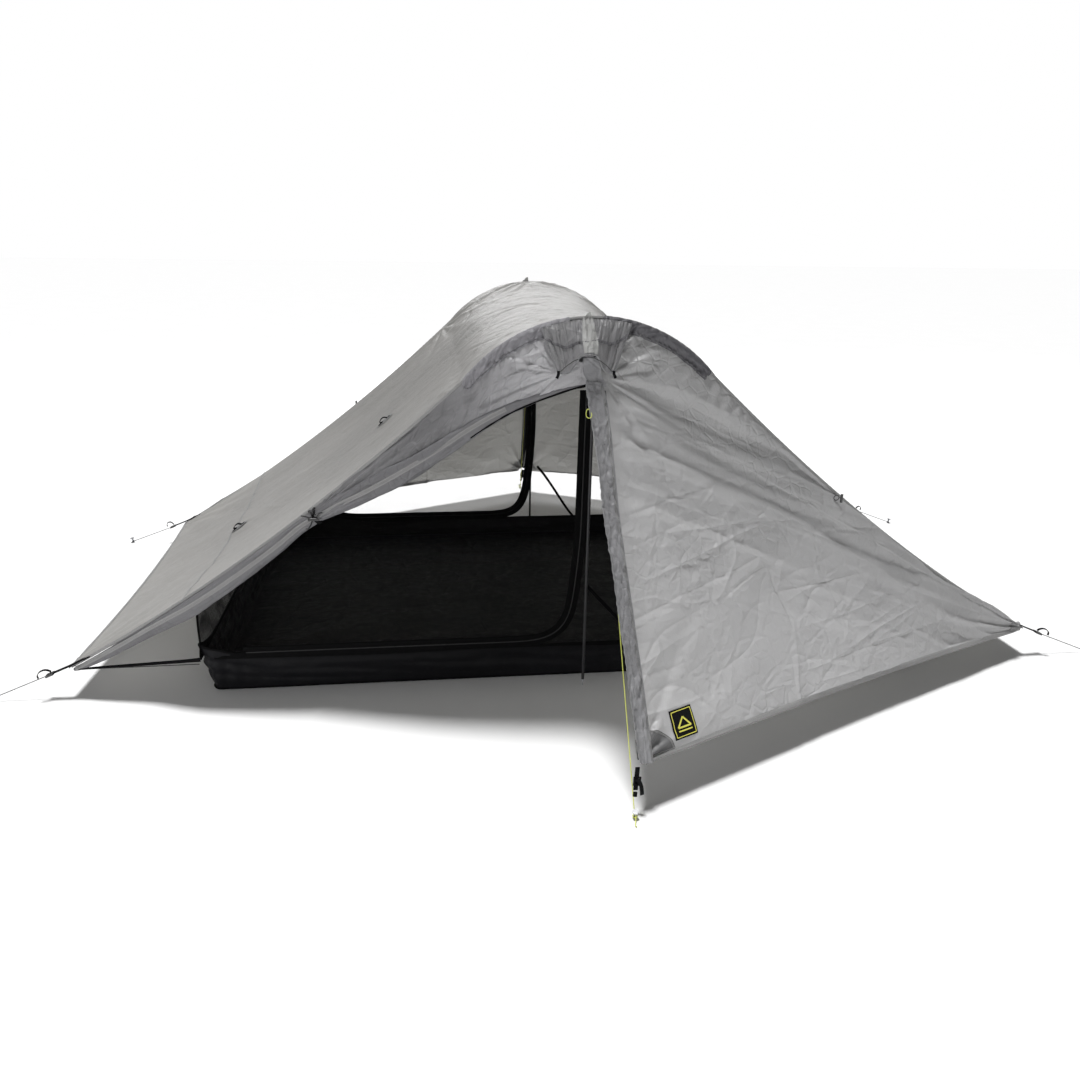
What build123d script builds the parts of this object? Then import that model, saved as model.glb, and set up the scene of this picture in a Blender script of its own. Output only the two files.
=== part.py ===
"""Two-pole backpacking tent with two arched ridge struts, pitched, near left door tied back.

Frame: X along the long side of the floor, -Y is the near (entrance) side, +Z up.
Origin: centre of the floor on the ground.  Millimetres.
Fabric is drawn as closed sheets a little thicker than the cloth.
Pieces are built on the near side, at the right where they repeat, and mirrored.
"""
from build123d import *
import math
import os

os.makedirs("parts", exist_ok=True)

# ------------------------------------------------------------------ driving sizes
FLOOR_X, FLOOR_Y = 1145.0, 690.0          # half length and half width of the floor
WALL_H = 108.0                            # height of the floor's raised sides
LEAN_X, LEAN_Y = 26.0, 11.0               # outward lean of the end walls and the side walls
END_NET_X = FLOOR_X + LEAN_X + 1.0        # plane of the netting at each end
STRUT_Y = 768.0                           # plane of each ridge strut and pole
ARC_R = 450.0                             # ridge strut bend radius
ARC_HALF = 50.0                           # half angle of the ridge strut, degrees
ARC_Z = 680.0                             # height of the bend centre
ROOF_R = 461.0                            # roof cloth radius over the strut
CORNER_X, CORNER_Y, CORNER_Z = 1560.0, 680.0, 92.0
SEAM_SAG = 215.0                          # catenary factor of the side seams
EDGE_FLARE = 8.0                          # roof cloth beyond the canopy edge, over the struts
POLE_X = 5.0
BALL_Z = 1108.0                           # centre of the pole's round top
TUBE_R, TUBE_BORE = 4.5, 3.8              # pole and strut tubes
PLUG_R = TUBE_BORE - 0.05                 # anything that slides into a tube
CLOTH = 2.0                               # sheet thickness for the canopy
NET = 1.6                                 # sheet thickness for the netting
TAPE = 1.2

# points on the near side
RIGHT_CORNER = (CORNER_X, -CORNER_Y, CORNER_Z)
LEFT_CORNER = (-CORNER_X, -CORNER_Y, CORNER_Z)
VESTIBULE = (35.0, -1385.0, 120.0)        # lowest corner of the vestibule
ZIP_HEAD = (5.0, -860.0, 978.0)           # top end of the vestibule zip
TIE_POINT = (-785.0, -750.0, 585.0)       # where the left door is tied back
CORNER_STAKE = (1800.0, -700.0, 0.0)      # where the stakes meet the ground
VESTIBULE_STAKE = (25.0, -1430.0, 0.0)


# ------------------------------------------------------------------ vectors
def minus(a, b):
    return (a[0] - b[0], a[1] - b[1], a[2] - b[2])


def shifted(point, vector, times=1.0):
    return tuple(p + times * v for p, v in zip(point, vector))


def scaled(vector, factor):
    return tuple(factor * v for v in vector)


def cross(a, b):
    return (a[1] * b[2] - a[2] * b[1], a[2] * b[0] - a[0] * b[2], a[0] * b[1] - a[1] * b[0])


def dot(a, b):
    return a[0] * b[0] + a[1] * b[1] + a[2] * b[2]


def length(vector):
    return math.sqrt(dot(vector, vector))


def unit(vector):
    size = length(vector)
    return (vector[0] / size, vector[1] / size, vector[2] / size)


def lerp(a, b, t):
    return tuple(p + (q - p) * t for p, q in zip(a, b))


def interpolate(table, at):
    """Straight-line value from (position, value) rows; the last value holds beyond the end."""
    for (p0, v0), (p1, v1) in zip(table, table[1:]):
        if at <= p1:
            return v0 + (v1 - v0) * (at - p0) / (p1 - p0)
    return table[-1][1]


def bulge(t):
    """Parabola: 0 at both ends, 1 in the middle."""
    return 4 * t * (1 - t)


# ------------------------------------------------------------------ solids
def polygon(points):
    return Face(Wire.make_polygon([tuple(p) for p in points], close=True))


def triangle(a, b, c):
    return polygon([a, b, c])


def faceted_solid(faces):
    solid = Solid(Shell(faces))
    return solid if solid.volume > 0 else Solid(Shell([-face for face in faces]))


def sheet(grid, thick):
    """Closed sheet of even thickness through a grid of points, in flat facets."""
    rows, columns = len(grid), len(grid[0])
    up, down = [], []
    for i in range(rows):
        up_row, down_row = [], []
        for j in range(columns):
            down_grid = minus(grid[min(i + 1, rows - 1)][j], grid[max(i - 1, 0)][j])
            across_grid = minus(grid[i][min(j + 1, columns - 1)], grid[i][max(j - 1, 0)])
            normal = unit(cross(down_grid, across_grid))
            up_row.append(shifted(grid[i][j], normal, thick / 2))
            down_row.append(shifted(grid[i][j], normal, -thick / 2))
        up.append(up_row)
        down.append(down_row)
    faces = []
    for i in range(rows - 1):
        for j in range(columns - 1):
            faces.append(triangle(up[i][j], up[i + 1][j], up[i + 1][j + 1]))
            faces.append(triangle(up[i][j], up[i + 1][j + 1], up[i][j + 1]))
            faces.append(triangle(down[i][j], down[i + 1][j + 1], down[i + 1][j]))
            faces.append(triangle(down[i][j], down[i][j + 1], down[i + 1][j + 1]))
    for i in range(rows - 1):
        for j in (0, columns - 1):
            faces.append(triangle(up[i][j], down[i][j], up[i + 1][j]))
            faces.append(triangle(down[i][j], down[i + 1][j], up[i + 1][j]))
    for j in range(columns - 1):
        for i in (0, rows - 1):
            faces.append(triangle(up[i][j], down[i][j], up[i][j + 1]))
            faces.append(triangle(down[i][j], down[i][j + 1], up[i][j + 1]))
    return faceted_solid(faces)


def bundle(path, radii, sides=10, tallness=1.0):
    """Closed tapered roll along a path, in flat facets; tallness stretches its section upwards."""
    rings = []
    for i, point in enumerate(path):
        along = unit(minus(path[min(i + 1, len(path) - 1)], path[max(i - 1, 0)]))
        level = unit(cross(along, (0, 0, 1)))
        upward = cross(level, along)
        section = []
        for k in range(sides):
            angle = 2 * math.pi * k / sides
            rim = shifted(point, level, radii[i] * math.cos(angle))
            section.append(shifted(rim, upward, tallness * radii[i] * math.sin(angle)))
        rings.append(section)
    faces = []
    for a, b in zip(rings, rings[1:]):
        for k in range(sides):
            following = (k + 1) % sides
            faces.append(triangle(a[k], b[k], b[following]))
            faces.append(triangle(a[k], b[following], a[following]))
    for section, centre in ((rings[0], path[0]), (rings[-1], path[-1])):
        for k in range(sides):
            faces.append(triangle(centre, section[k], section[(k + 1) % sides]))
    return faceted_solid(faces)


def rod(start, end, radius):
    span = minus(end, start)
    return Solid.make_cylinder(radius, length(span), Plane(origin=start, z_dir=unit(span)))


def prism(points, vector):
    """Planar polygon swept by a vector."""
    return Solid.extrude(polygon(points), Vector(*vector))


def torus(centre, axis, major, minor):
    return Solid.make_torus(major, minor, Plane(origin=centre, z_dir=unit(axis)))


def box_at(centre, along, across, size):
    """Box with its first side along one direction and its second across it."""
    along = unit(along)
    plane = Plane(origin=centre, x_dir=along, z_dir=unit(cross(along, across)))
    return plane.location * Box(*size)


def slotted_box(centre, along, across, size, slot_shift, slot_size):
    """Box with two slots, one each side of the middle."""
    box = box_at(centre, along, across, size)
    slots = [box_at(shifted(centre, along, s), along, across, slot_size)
             for s in (slot_shift, -slot_shift)]
    return (box - slots[0] - slots[1]).solids()[0]


# ------------------------------------------------------------------ mirroring and saving
def far(shape):
    return mirror(shape, about=Plane.XZ)


def left(shape):
    return mirror(shape, about=Plane.YZ)


def all_corners(shape):
    """Copies of a near right shape at the four corners."""
    return [far(shape), shape, left(far(shape)), left(shape)]


def save(name, *shapes):
    solids = []
    for shape in shapes:
        solids += list(shape.solids())
    piece = solids[0] if len(solids) == 1 else Compound(children=solids)
    export_step(piece, f"parts/{name}.step")


def save_near_and_far(name, *shapes):
    """Saves the near shapes and their mirrored copies; {} in the name becomes the side."""
    save(name.format("near"), *shapes)
    save(name.format("far"), *[far(shape) for shape in shapes])


# ------------------------------------------------------------------ roof
SEAM_X = ROOF_R * math.sin(math.radians(ARC_HALF))            # where the arch meets the seam
SEAM_Z = ARC_Z + ROOF_R * math.cos(math.radians(ARC_HALF))
ROOF_SAG = ((0, 40), (620, 57), (1190, 37), (CORNER_X, 12))   # distance from middle, sag

# stations to the right of the middle, over the strut and along the seam
ARC_STATIONS = [ROOF_R * math.sin(math.radians(ARC_HALF * k / 6)) for k in range(7)]
SEAM_STATIONS = [420, 500, 600, 720, 850, 980, 1100]
ROOF_END = 1198
END_PANEL_STATIONS = [1202, 1290, 1380, 1470, 1540]
HEM_BOW = 22                              # how far the end hem bows in between the corners
WIDTH_STATIONS = [-1, -0.75, -0.4, 0, 0.4, 0.75, 1]           # shares of the half width


def edge_at(x):
    """Canopy edge over strut and side seam: (half width, height) at x."""
    reach = abs(x)
    if reach <= SEAM_X:
        return STRUT_Y, ARC_Z + math.sqrt(ROOF_R ** 2 - reach * reach)
    t = (reach - SEAM_X) / (CORNER_X - SEAM_X)
    return (STRUT_Y + (CORNER_Y - STRUT_Y) * t,
            SEAM_Z + (CORNER_Z - SEAM_Z) * t - SEAM_SAG * t * (1 - t))


def roof_point(x, width_share):
    """Point on the roof; width_share runs from -1 at the near edge to 1 at the far edge."""
    half_width, z = edge_at(x)
    flare = 1 if abs(x) <= SEAM_X else max(0.0, 1 - (abs(x) - SEAM_X) / 1200)
    sag = interpolate(ROOF_SAG, abs(x)) * (1 - width_share ** 2)
    return (x, width_share * (half_width + EDGE_FLARE * flare), z - sag)


def roof_panel():
    side = SEAM_STATIONS + [ROOF_END]
    stations = [-x for x in reversed(ARC_STATIONS[1:] + side)] + ARC_STATIONS + side
    return sheet([[roof_point(x, v) for v in WIDTH_STATIONS] for x in stations], CLOTH)


def roof_end_panel():
    last = len(END_PANEL_STATIONS) - 1
    return sheet([[roof_point(x - k / last * HEM_BOW * (1 - v * v), v) for v in WIDTH_STATIONS]
                  for k, x in enumerate(END_PANEL_STATIONS)], CLOTH)


save("roof_panel", roof_panel())
end_panel = roof_end_panel()
save("roof_end_panels", end_panel, left(end_panel))

# ------------------------------------------------------------------ netting plane
NET_Z, NET_Y = 112.0, 703.0               # the leaning net wall passes through this height and width
NET_SLOPE = 0.0425
NET_NORMAL = unit((0, -1, -NET_SLOPE))    # out of the tent


def net_y(z):
    return -(NET_Y + (z - NET_Z) * NET_SLOPE)


# ------------------------------------------------------------------ rolled door and brow panels
# tied-back door: (share of the way from zip head to tie point,
#                  lift above the straight line between them, radius)
ROLL = ((0.055, 14, 3.5), (0.085, 21, 5), (0.14, 30, 7), (0.24, 42, 12), (0.33, 46, 16),
        (0.44, 38, 22), (0.55, 22, 27), (0.67, 9, 31), (0.80, 0, 28), (0.90, -2, 22),
        (0.96, -6, 16), (1.0, -9, 12.5))
# rest of the roll, under the side seam: (distance from the middle, radius)
ROLL_TAIL = ((840, 16), (920, 20), (1040, 21), (1180, 19), (1320, 15), (1440, 11), (1520, 7))
ROLL_TALL = 1.15                          # height of the roll's section over its width
ROLL_GAP = 9.0                            # from the roll up to the cloth above
BROW_LIFT = 6.0                           # free edge above the line where the doors fold
BROW_EDGE = [(0.0, BROW_LIFT)] + [(share, lift + ROLL_TALL * r + ROLL_GAP)
                                  for share, lift, r in ROLL]
BROW_LEFT_END = 740                       # last station of the brow over the rolled door


def brow_row(x, shares, rolled, raised=0.0):
    """Points down the brow at x, from strut (0) to free edge (1); rolled: left door tied back."""
    half_width, z = edge_at(x)
    top = (x, -(half_width + 11), z - 0.5)
    if x >= 0:
        end = RIGHT_CORNER
    else:
        end = TIE_POINT if rolled else LEFT_CORNER
    share = abs(x) / abs(end[0])
    fold = lerp(ZIP_HEAD, end, share)
    lift = interpolate(BROW_EDGE, share) if rolled and x < 0 else BROW_LIFT
    low = (x, fold[1], fold[2] + lift)
    row = []
    for t in shares:
        point = lerp(top, low, t)
        out = 10 * bulge(t) * min(1, (top[2] - low[2]) / 150) + raised
        row.append((point[0], point[1] - out, point[2] - 0.3 * out))
    return row


def brow(rolled):
    """Cloth between the strut and the line where the doors fold."""
    right = ARC_STATIONS[1:] + SEAM_STATIONS
    left_end = BROW_LEFT_END if rolled else SEAM_STATIONS[-1]
    stations = [-x for x in reversed(right) if x <= left_end] + [ARC_STATIONS[0]] + right
    return sheet([brow_row(x, (0, 0.33, 0.67, 1), rolled) for x in stations], CLOTH)


def roll_line():
    """Centre points and radii of the rolled door."""
    path, radii = [], []
    for share, lift, radius in ROLL:
        x, y, z = lerp(ZIP_HEAD, TIE_POINT, share)
        path.append((x, y + 2, z + lift))
        radii.append(radius)
    for x, radius in ROLL_TAIL:
        half_width, seam_z = edge_at(x)
        z = seam_z - ROLL_TALL * radius - ROLL_GAP
        out = half_width + 2
        if x <= 1200:
            out = max(out, 3.5 - net_y(z) + radius)       # stays outside the net wall
        path.append((-x, -out, z))
        radii.append(radius)
    return path, radii


save("brow_near", brow(rolled=True))
save("brow_far", far(brow(rolled=False)))
roll_path, roll_radii = roll_line()
save("near_left_door_rolled", bundle(roll_path, roll_radii, tallness=ROLL_TALL))


# ------------------------------------------------------------------ ridge struts and pole cups
def strut_arc(outer, bore, start, end):
    """Round bar or tube on the strut's arc; angles in degrees from straight up towards +X."""
    angle = math.radians(start)
    bend_centre = (0, -STRUT_Y, ARC_Z)
    centre = shifted(bend_centre, (math.sin(angle), 0, math.cos(angle)), ARC_R)
    plane = Plane(origin=centre, z_dir=(math.cos(angle), 0, -math.sin(angle)))
    face = Face(Wire.make_circle(outer, plane))
    if bore:
        face = (face - Face(Wire.make_circle(bore, plane))).faces()[0]
    return revolve(face, Axis(bend_centre, (0, 1, 0)), revolution_arc=end - start)


def side_arc(side, outer, bore, inner_angle, outer_angle):
    """Arc on the right (side 1) or left (side -1) half of the strut."""
    start, end = sorted((side * inner_angle, side * outer_angle))
    return strut_arc(outer, bore, start, end)


def strut_cap(side):
    plug = side_arc(side, PLUG_R, 0, 47.5, 49.4)
    knob = side_arc(side, TUBE_R, 0, 49.05, 49.9)
    return (knob + plug).solids()[0]


def pole_cup():
    """Short cylinder round the pole's ball, with a spherical hollow."""
    plane = Plane(origin=(POLE_X, -STRUT_Y, BALL_Z))
    return (Solid.make_cylinder(11, 13, plane) - Solid.make_sphere(7.4, plane)).solids()[0]


sleeve = strut_arc(6.6, 5.2, -49.6, 49.6)
save("strut_sleeves", sleeve, far(sleeve))
save_near_and_far("{}_strut_tubes",
                  *[side_arc(side, TUBE_R, TUBE_BORE, 0.05, 49) for side in (-1, 1)])
save_near_and_far("{}_strut_fittings", strut_arc(PLUG_R, 2.9, -4.5, 4.5),
                  *[strut_cap(side) for side in (-1, 1)])
cup = pole_cup()
save("pole_cups", cup, far(cup))

# ------------------------------------------------------------------ poles
POLE_SECTIONS = 4
TUBES_TOP, TUBES_LOW = BALL_Z - 6.3, 22.0
SECTION = (TUBES_TOP - TUBES_LOW) / POLE_SECTIONS
SECTION_GAP = 0.2
FERRULE_LENGTH = 70
FOOT_HEIGHT = 8                           # full-width part of the tip


def upright(radius, height, z):
    """Cylinder on the pole's axis, standing at z."""
    return Solid.make_cylinder(radius, height, Plane(origin=(POLE_X, -STRUT_Y, z)))


def upright_tube(outer, bore, height, z):
    return (upright(outer, height, z) - upright(bore, height + 10, z - 5)).solids()[0]


def pole_tubes():
    return [upright_tube(TUBE_R, TUBE_BORE, SECTION - SECTION_GAP,
                         TUBES_LOW + k * SECTION + (SECTION_GAP if k else 0))
            for k in range(POLE_SECTIONS)]


def pole_ferrules():
    return [upright_tube(PLUG_R, 2.8, FERRULE_LENGTH,
                         TUBES_LOW + k * SECTION - FERRULE_LENGTH / 2)
            for k in range(1, POLE_SECTIONS)]


def pole_head():
    ball = Solid.make_sphere(7.0, Plane(origin=(POLE_X, -STRUT_Y, BALL_Z)))
    neck = upright(PLUG_R, 22, TUBES_TOP - 20)
    collar = upright(TUBE_R, 3.0, TUBES_TOP)
    return (ball + neck + collar).solids()[0]


def pole_tip():
    foot_z = TUBES_LOW - FOOT_HEIGHT
    foot = upright(TUBE_R, FOOT_HEIGHT, foot_z)
    pin = upright(2.2, foot_z, 0)
    plug = upright(PLUG_R, 20, TUBES_LOW)
    return (foot + pin + plug).solids()[0]


save_near_and_far("{}_pole_tubes", *pole_tubes())
save_near_and_far("{}_pole_ferrules", *pole_ferrules())
save_near_and_far("{}_pole_cord", upright(1.25, TUBES_TOP - TUBES_LOW - 48, TUBES_LOW + 24))
save_near_and_far("{}_pole_ends", pole_head(), pole_tip())

# ------------------------------------------------------------------ floor tub
FLOOR_THICK = 2.0
WALL_THICK = 1.6
WALL_FOOT = 2.3                           # height of the walls' lower edge
WALL_RISE = WALL_H - WALL_FOOT


def side_wall():
    """Near side wall, thickened outwards."""
    y0, y1 = -FLOOR_Y, -FLOOR_Y - LEAN_Y
    x0, x1 = FLOOR_X - 6, FLOOR_X + LEAN_X - 8
    points = [(-x0, y0, WALL_FOOT), (x0, y0, WALL_FOOT), (x1, y1, WALL_H), (-x1, y1, WALL_H)]
    return prism(points, scaled(unit((0, -1, -LEAN_Y / WALL_RISE)), WALL_THICK))


def end_wall():
    """Right end wall, thickened inwards."""
    x0, x1 = FLOOR_X, FLOOR_X + LEAN_X
    y0, y1 = FLOOR_Y - 0.5, FLOOR_Y + LEAN_Y - 0.5
    points = [(x0, -y0, WALL_FOOT), (x0, y0, WALL_FOOT), (x1, y1, WALL_H), (x1, -y1, WALL_H)]
    return prism(points, scaled(unit((-1, 0, LEAN_X / WALL_RISE)), WALL_THICK))


save("tub_floor", Pos(0, 0, FLOOR_THICK / 2) * Box(2 * FLOOR_X, 2 * FLOOR_Y, FLOOR_THICK))
near_wall, right_wall = side_wall(), end_wall()
save("tub_walls", near_wall, far(near_wall), right_wall, left(right_wall))

# ------------------------------------------------------------------ netting walls and doors
# J-shaped line where the mesh door meets the fixed netting, top to lower left: (x, z)
MESH_ZIP = [(-9, 960), (-9, 500), (-12, 440), (-16, 390), (-20, 340), (-25, 285), (-32, 235),
            (-44, 195), (-64, 166), (-92, 146), (-132, 135), (-182, 132), (-1080, 132)]
NET_WALL_X = (1130, 1000, 860, 700, 560, 440, 380)     # top edge stations under the seam
NET_ARCH_R = ARC_R - 14                                # top edge under the strut
TAPE_OFF = 1.0                                         # tapes start this far outside mid-net


def net_face(outline, out):
    """Face on the net wall from (x, z) points, moved out along the net's normal."""
    return polygon([shifted((x, net_y(z), z), NET_NORMAL, out) for x, z in outline])


def net_prism(outline, out0, out1):
    return Solid.extrude(net_face(outline, out0), Vector(*scaled(NET_NORMAL, out1 - out0)))


def net_tape(outline):
    return net_prism(outline, TAPE_OFF, TAPE_OFF + TAPE)


def offset_line(line, distance):
    """Moves an open line sideways; positive is towards the door (left and up)."""
    moved = []
    for i, (x, z) in enumerate(line):
        before, after = line[max(i - 1, 0)], line[min(i + 1, len(line) - 1)]
        run_x, run_z = after[0] - before[0], after[1] - before[1]
        run = math.hypot(run_x, run_z)
        moved.append((x + distance * run_z / run, z - distance * run_x / run))
    return moved


def net_wall():
    right_top = [(x, edge_at(x)[1] - 26) for x in NET_WALL_X]
    arch = [(NET_ARCH_R * math.sin(math.radians(a)), ARC_Z + NET_ARCH_R * math.cos(math.radians(a)))
            for a in range(44, -45, -11)]
    left_top = [(-x, z) for x, z in reversed(right_top)]
    outer = [(-1130, 110), (1130, 110)] + right_top + arch + left_top
    # the opening is a little larger than the door, right of its upright and below its foot
    hole = [(x + (0.5 if i < 9 else 0), z - (0.5 if i > 6 else 0))
            for i, (x, z) in enumerate(MESH_ZIP)]
    hole = [(-8.5, 966)] + hole[1:-1] + [(-1090, 131.5)]
    face = (net_face(outer, -NET / 2) - net_face(hole, -NET / 2)).faces()[0]
    return Solid.extrude(face, Vector(*scaled(NET_NORMAL, NET)))


def end_net():
    """Netting over the right end wall of the floor, up to the roof."""
    points = [(-FLOOR_Y, WALL_H + 2), (FLOOR_Y, WALL_H + 2)]
    for v in (0.95, 0.75, 0.5, 0.25, 0, -0.25, -0.5, -0.75, -0.95):
        points.append((v * 700, roof_point(END_NET_X, v)[2] - 22))
    return prism([(END_NET_X, y, z) for y, z in points], (NET, 0, 0))


def fixed_zip_tape():
    return net_tape(offset_line(MESH_ZIP, -0.5) + offset_line(MESH_ZIP, -18.0)[::-1])


def door_zip_tape():
    line = [(-9, 946)] + MESH_ZIP[1:-1]
    zip_edge = offset_line(line + [(-1068, 132)], 1.8)
    door_edge = offset_line(line + [(-1040, 132)], 18.0)
    return net_tape(zip_edge + door_edge[:0:-1] + [(-27.0, 930)])


def net_slider(z):
    """Zip slider with a cord loop, on the fixed half of the zip."""
    right, up = (1, 0, 0), unit((0, -NET_SLOPE, 1))
    centre = shifted((-1.5, net_y(z), z), NET_NORMAL, 4.6)
    slider = box_at(centre, right, up, (13, 20, 4.2))
    tab = box_at(shifted(shifted(centre, up, -17), NET_NORMAL, 0.4), right, up, (7, 18, 2.0))
    loop_centre = shifted(shifted(centre, up, -35.2), NET_NORMAL, 0.4)
    return (slider + tab).solids()[0], torus(loop_centre, NET_NORMAL, 8.0, 1.1)


near_net, right_net = net_wall(), end_net()
save("mesh_walls", near_net, far(near_net), right_net, left(right_net))
save_near_and_far("{}_mesh_door_panel",
                  net_prism(offset_line(MESH_ZIP, 1.5), -NET / 2, NET / 2))
fixed_tape = fixed_zip_tape()
seam_tape = net_tape([(16, 322), (16, 336), (204, 138), (204, 124)])
save("mesh_tapes", fixed_tape, far(fixed_tape), seam_tape, far(seam_tape))
save_near_and_far("{}_mesh_door_tape", door_zip_tape())
save("near_mesh_slider", *net_slider(z=925.0))
save("far_mesh_slider", *[far(part) for part in net_slider(z=560.0)])

# ------------------------------------------------------------------ vestibule doors
ZIP_GAP = 1.5                             # from the zip line to the door panel
FLAP_OUT = (7.6, 9.2)                     # inner and outer face of the storm flap


class Door:
    """Flat door on the near side.

    Plane coordinates: x along the fold line from zip head to canopy corner, y at right angles
    towards the vestibule corner.  Zip coordinates: s down the zip from its head, w across it
    towards the panel.  out is the distance outside the plane.
    """

    def __init__(self, corner):
        fold = minus(corner, ZIP_HEAD)
        self.x_dir = unit(fold)
        self.fold_length = length(fold)
        zip_run = minus(VESTIBULE, ZIP_HEAD)
        along = dot(zip_run, self.x_dir)
        self.y_dir = unit(shifted(zip_run, self.x_dir, -along))
        normal = cross(self.x_dir, self.y_dir)
        self.normal = normal if normal[1] < 0 else scaled(normal, -1)
        self.tip = (along, dot(zip_run, self.y_dir))
        self.zip_length = math.hypot(*self.tip)
        self.zip_x = self.tip[0] / self.zip_length
        self.zip_y = self.tip[1] / self.zip_length

    def at(self, x, y, out=0.0):
        point = shifted(shifted(ZIP_HEAD, self.x_dir, x), self.y_dir, y)
        return shifted(point, self.normal, out)

    def zip_xy(self, s, w):
        return self.zip_x * s + self.zip_y * w, self.zip_y * s - self.zip_x * w

    def plate(self, points, out0, out1):
        return prism([self.at(x, y, out0) for x, y in points],
                     scaled(self.normal, out1 - out0))

    def zip_plate(self, points, out0, out1):
        return self.plate([self.zip_xy(s, w) for s, w in points], out0, out1)

    def zip_strip(self, s0, s1, w0, w1, out0, out1):
        return self.zip_plate([(s0, w0), (s1, w0), (s1, w1), (s0, w1)], out0, out1)

    def panel(self):
        tip_x, tip_y = self.tip
        points = [(5 * self.zip_x / self.zip_y + ZIP_GAP + 6, 5.0), (self.fold_length - 60, 5.0)]
        hem_x, hem_y = self.fold_length - 40, 9.0
        for t in (0.0, 0.12, 0.3, 0.5, 0.7, 0.88, 1.0):
            x = hem_x + (tip_x + self.zip_y * ZIP_GAP - hem_x) * t
            y = hem_y + (tip_y - 2 - hem_y) * t
            points.append((x, y - 15 * bulge(t)))
        return self.plate(points, -CLOTH / 2, CLOTH / 2)

    def zip_tape(self):
        return self.zip_strip(22, self.zip_length - 12, ZIP_GAP, 15, 1.3, 1.3 + TAPE)

    def slider(self, s, w):
        origin = self.at(0, 0)
        along = minus(self.at(*self.zip_xy(1, 0)), origin)
        across = minus(self.at(*self.zip_xy(0, 1)), origin)
        body = box_at(self.at(*self.zip_xy(s, w), 4.5), along, across, (20, 11, 3.4))
        tab = box_at(self.at(*self.zip_xy(s + 22, w), 4.5), along, across, (28, 6, 2.0))
        return (body + tab).solids()[0]


def near_storm_flap(door):
    end = door.zip_length - 4
    outline = ((26, -50), (400, -31), (650, -16), (822, -6), (end, 0),
               (end, 45), (824, 40), (645, 31), (381, 16), (26, 14))     # (s, w)
    return door.zip_plate(outline, *FLAP_OUT)


def label_patch(door):
    """Rectangular patch square to the hem."""
    outline = ((887.5, 111.5), (874.4, 184.3), (949.2, 197.8), (962.3, 125.0))     # (s, w)
    return door.zip_plate(outline, 1.4, 2.2)


def door_strap(door):
    """Strap, buckle and hook from the vestibule corner to just above the stake."""
    start = shifted(shifted(VESTIBULE, door.normal, 2.2), (0, 0, 1), -6)
    end = (27.0, -1411.0, 52.0)
    along = unit(minus(end, start))
    across = unit(cross(along, door.normal))
    run = length(minus(end, start))
    strap = box_at(lerp(start, end, 0.42), along, across, (run * 0.84, 13, 1.6))
    outward = unit(cross(along, across))
    if outward[1] >= 0:
        outward = scaled(outward, -1)
    buckle = slotted_box(shifted(lerp(start, end, 0.5), outward, 3.4), along, across,
                         size=(22, 21, 4.0), slot_shift=5, slot_size=(4, 14, 10))
    hook = box_at(shifted(end, along, -1.0), along, across, (12, 9, 6.0))
    return strap, buckle, hook


right_door, left_door = Door(RIGHT_CORNER), Door(LEFT_CORNER)
save_near_and_far("{}_right_door_panel", right_door.panel())
save("near_storm_flap", near_storm_flap(right_door))
save("near_fly_zip_tape", right_door.zip_tape())
save("near_fly_slider", right_door.slider(s=60, w=7.5))
save("near_label_patch", label_patch(right_door))
save_near_and_far("{}_door_strap", *door_strap(right_door))

# the far doors are both closed
save("far_storm_flap",
     far(right_door.zip_strip(26, right_door.zip_length - 4, 2.0, 46, *FLAP_OUT)))
save("far_right_zip_tape", far(right_door.zip_tape()))
save("far_fly_slider", far(right_door.slider(s=right_door.zip_length - 80, w=8.5)))
save("far_left_door_panel", far(left_door.panel()))
save("far_left_zip_tape", far(left_door.zip_tape()))


# ------------------------------------------------------------------ vent hoods and vent netting
def hood_rim(u):
    """Point on the hood's free edge; u runs from -1 at the left to 1 at the right."""
    return (77 * u - 33, -(859 + 14 * (1 - u * u)), 1004 + 48 * (1 - u * u))


def vent_hood():
    grid = []
    for u in (-1, -0.66, -0.33, 0, 0.33, 0.66, 1):
        x = 125 * u - 24
        top = (x, -788.5, ARC_Z + math.sqrt(454.0 ** 2 - x * x))
        grid.append([shifted(lerp(top, hood_rim(u), t), (0, -5 * bulge(t), 0))
                     for t in (0, 0.33, 0.67, 1)])
    return sheet(grid, 1.6)


def hood_stiffener():
    """Thin wire just under the hood's free edge."""
    path = [shifted(hood_rim(-0.96 + 1.92 * k / 8), (0, 3.2, -4.5)) for k in range(9)]
    return bundle(path, [1.0] * len(path), sides=8)


def vent_net():
    """Net just outside the middle of the brow, shaped for the near side."""
    return sheet([brow_row(x, (0.3, 0.5, 0.68), rolled=True, raised=3.4)
                  for x in (-62, -31, 0, 31, 62)], 0.8)


save_near_and_far("{}_vent_hood", vent_hood())
save_near_and_far("{}_vent_stiffener", hood_stiffener())
vent = vent_net()
save("vent_meshes", vent, far(vent))

# ------------------------------------------------------------------ stakes, tensioners and cords
CORNER_TILT, VESTIBULE_TILT = math.radians(15), math.radians(12)
CORNER_STAKE_DIR = (math.sin(CORNER_TILT), 0.0, math.cos(CORNER_TILT))       # leans to +X
VESTIBULE_STAKE_DIR = (0.0, -math.sin(VESTIBULE_TILT), math.cos(VESTIBULE_TILT))
WEB_START, WEB_END = (1538.0, -681.0, 106.0), (1604.0, -684.5, 79.0)         # corner webbing
WEB_ALONG = unit(minus(WEB_END, WEB_START))
WEB_ACROSS = unit(cross(WEB_ALONG, (0, 0, 1)))
TENSIONER = shifted(WEB_END, WEB_ALONG, 13)


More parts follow.
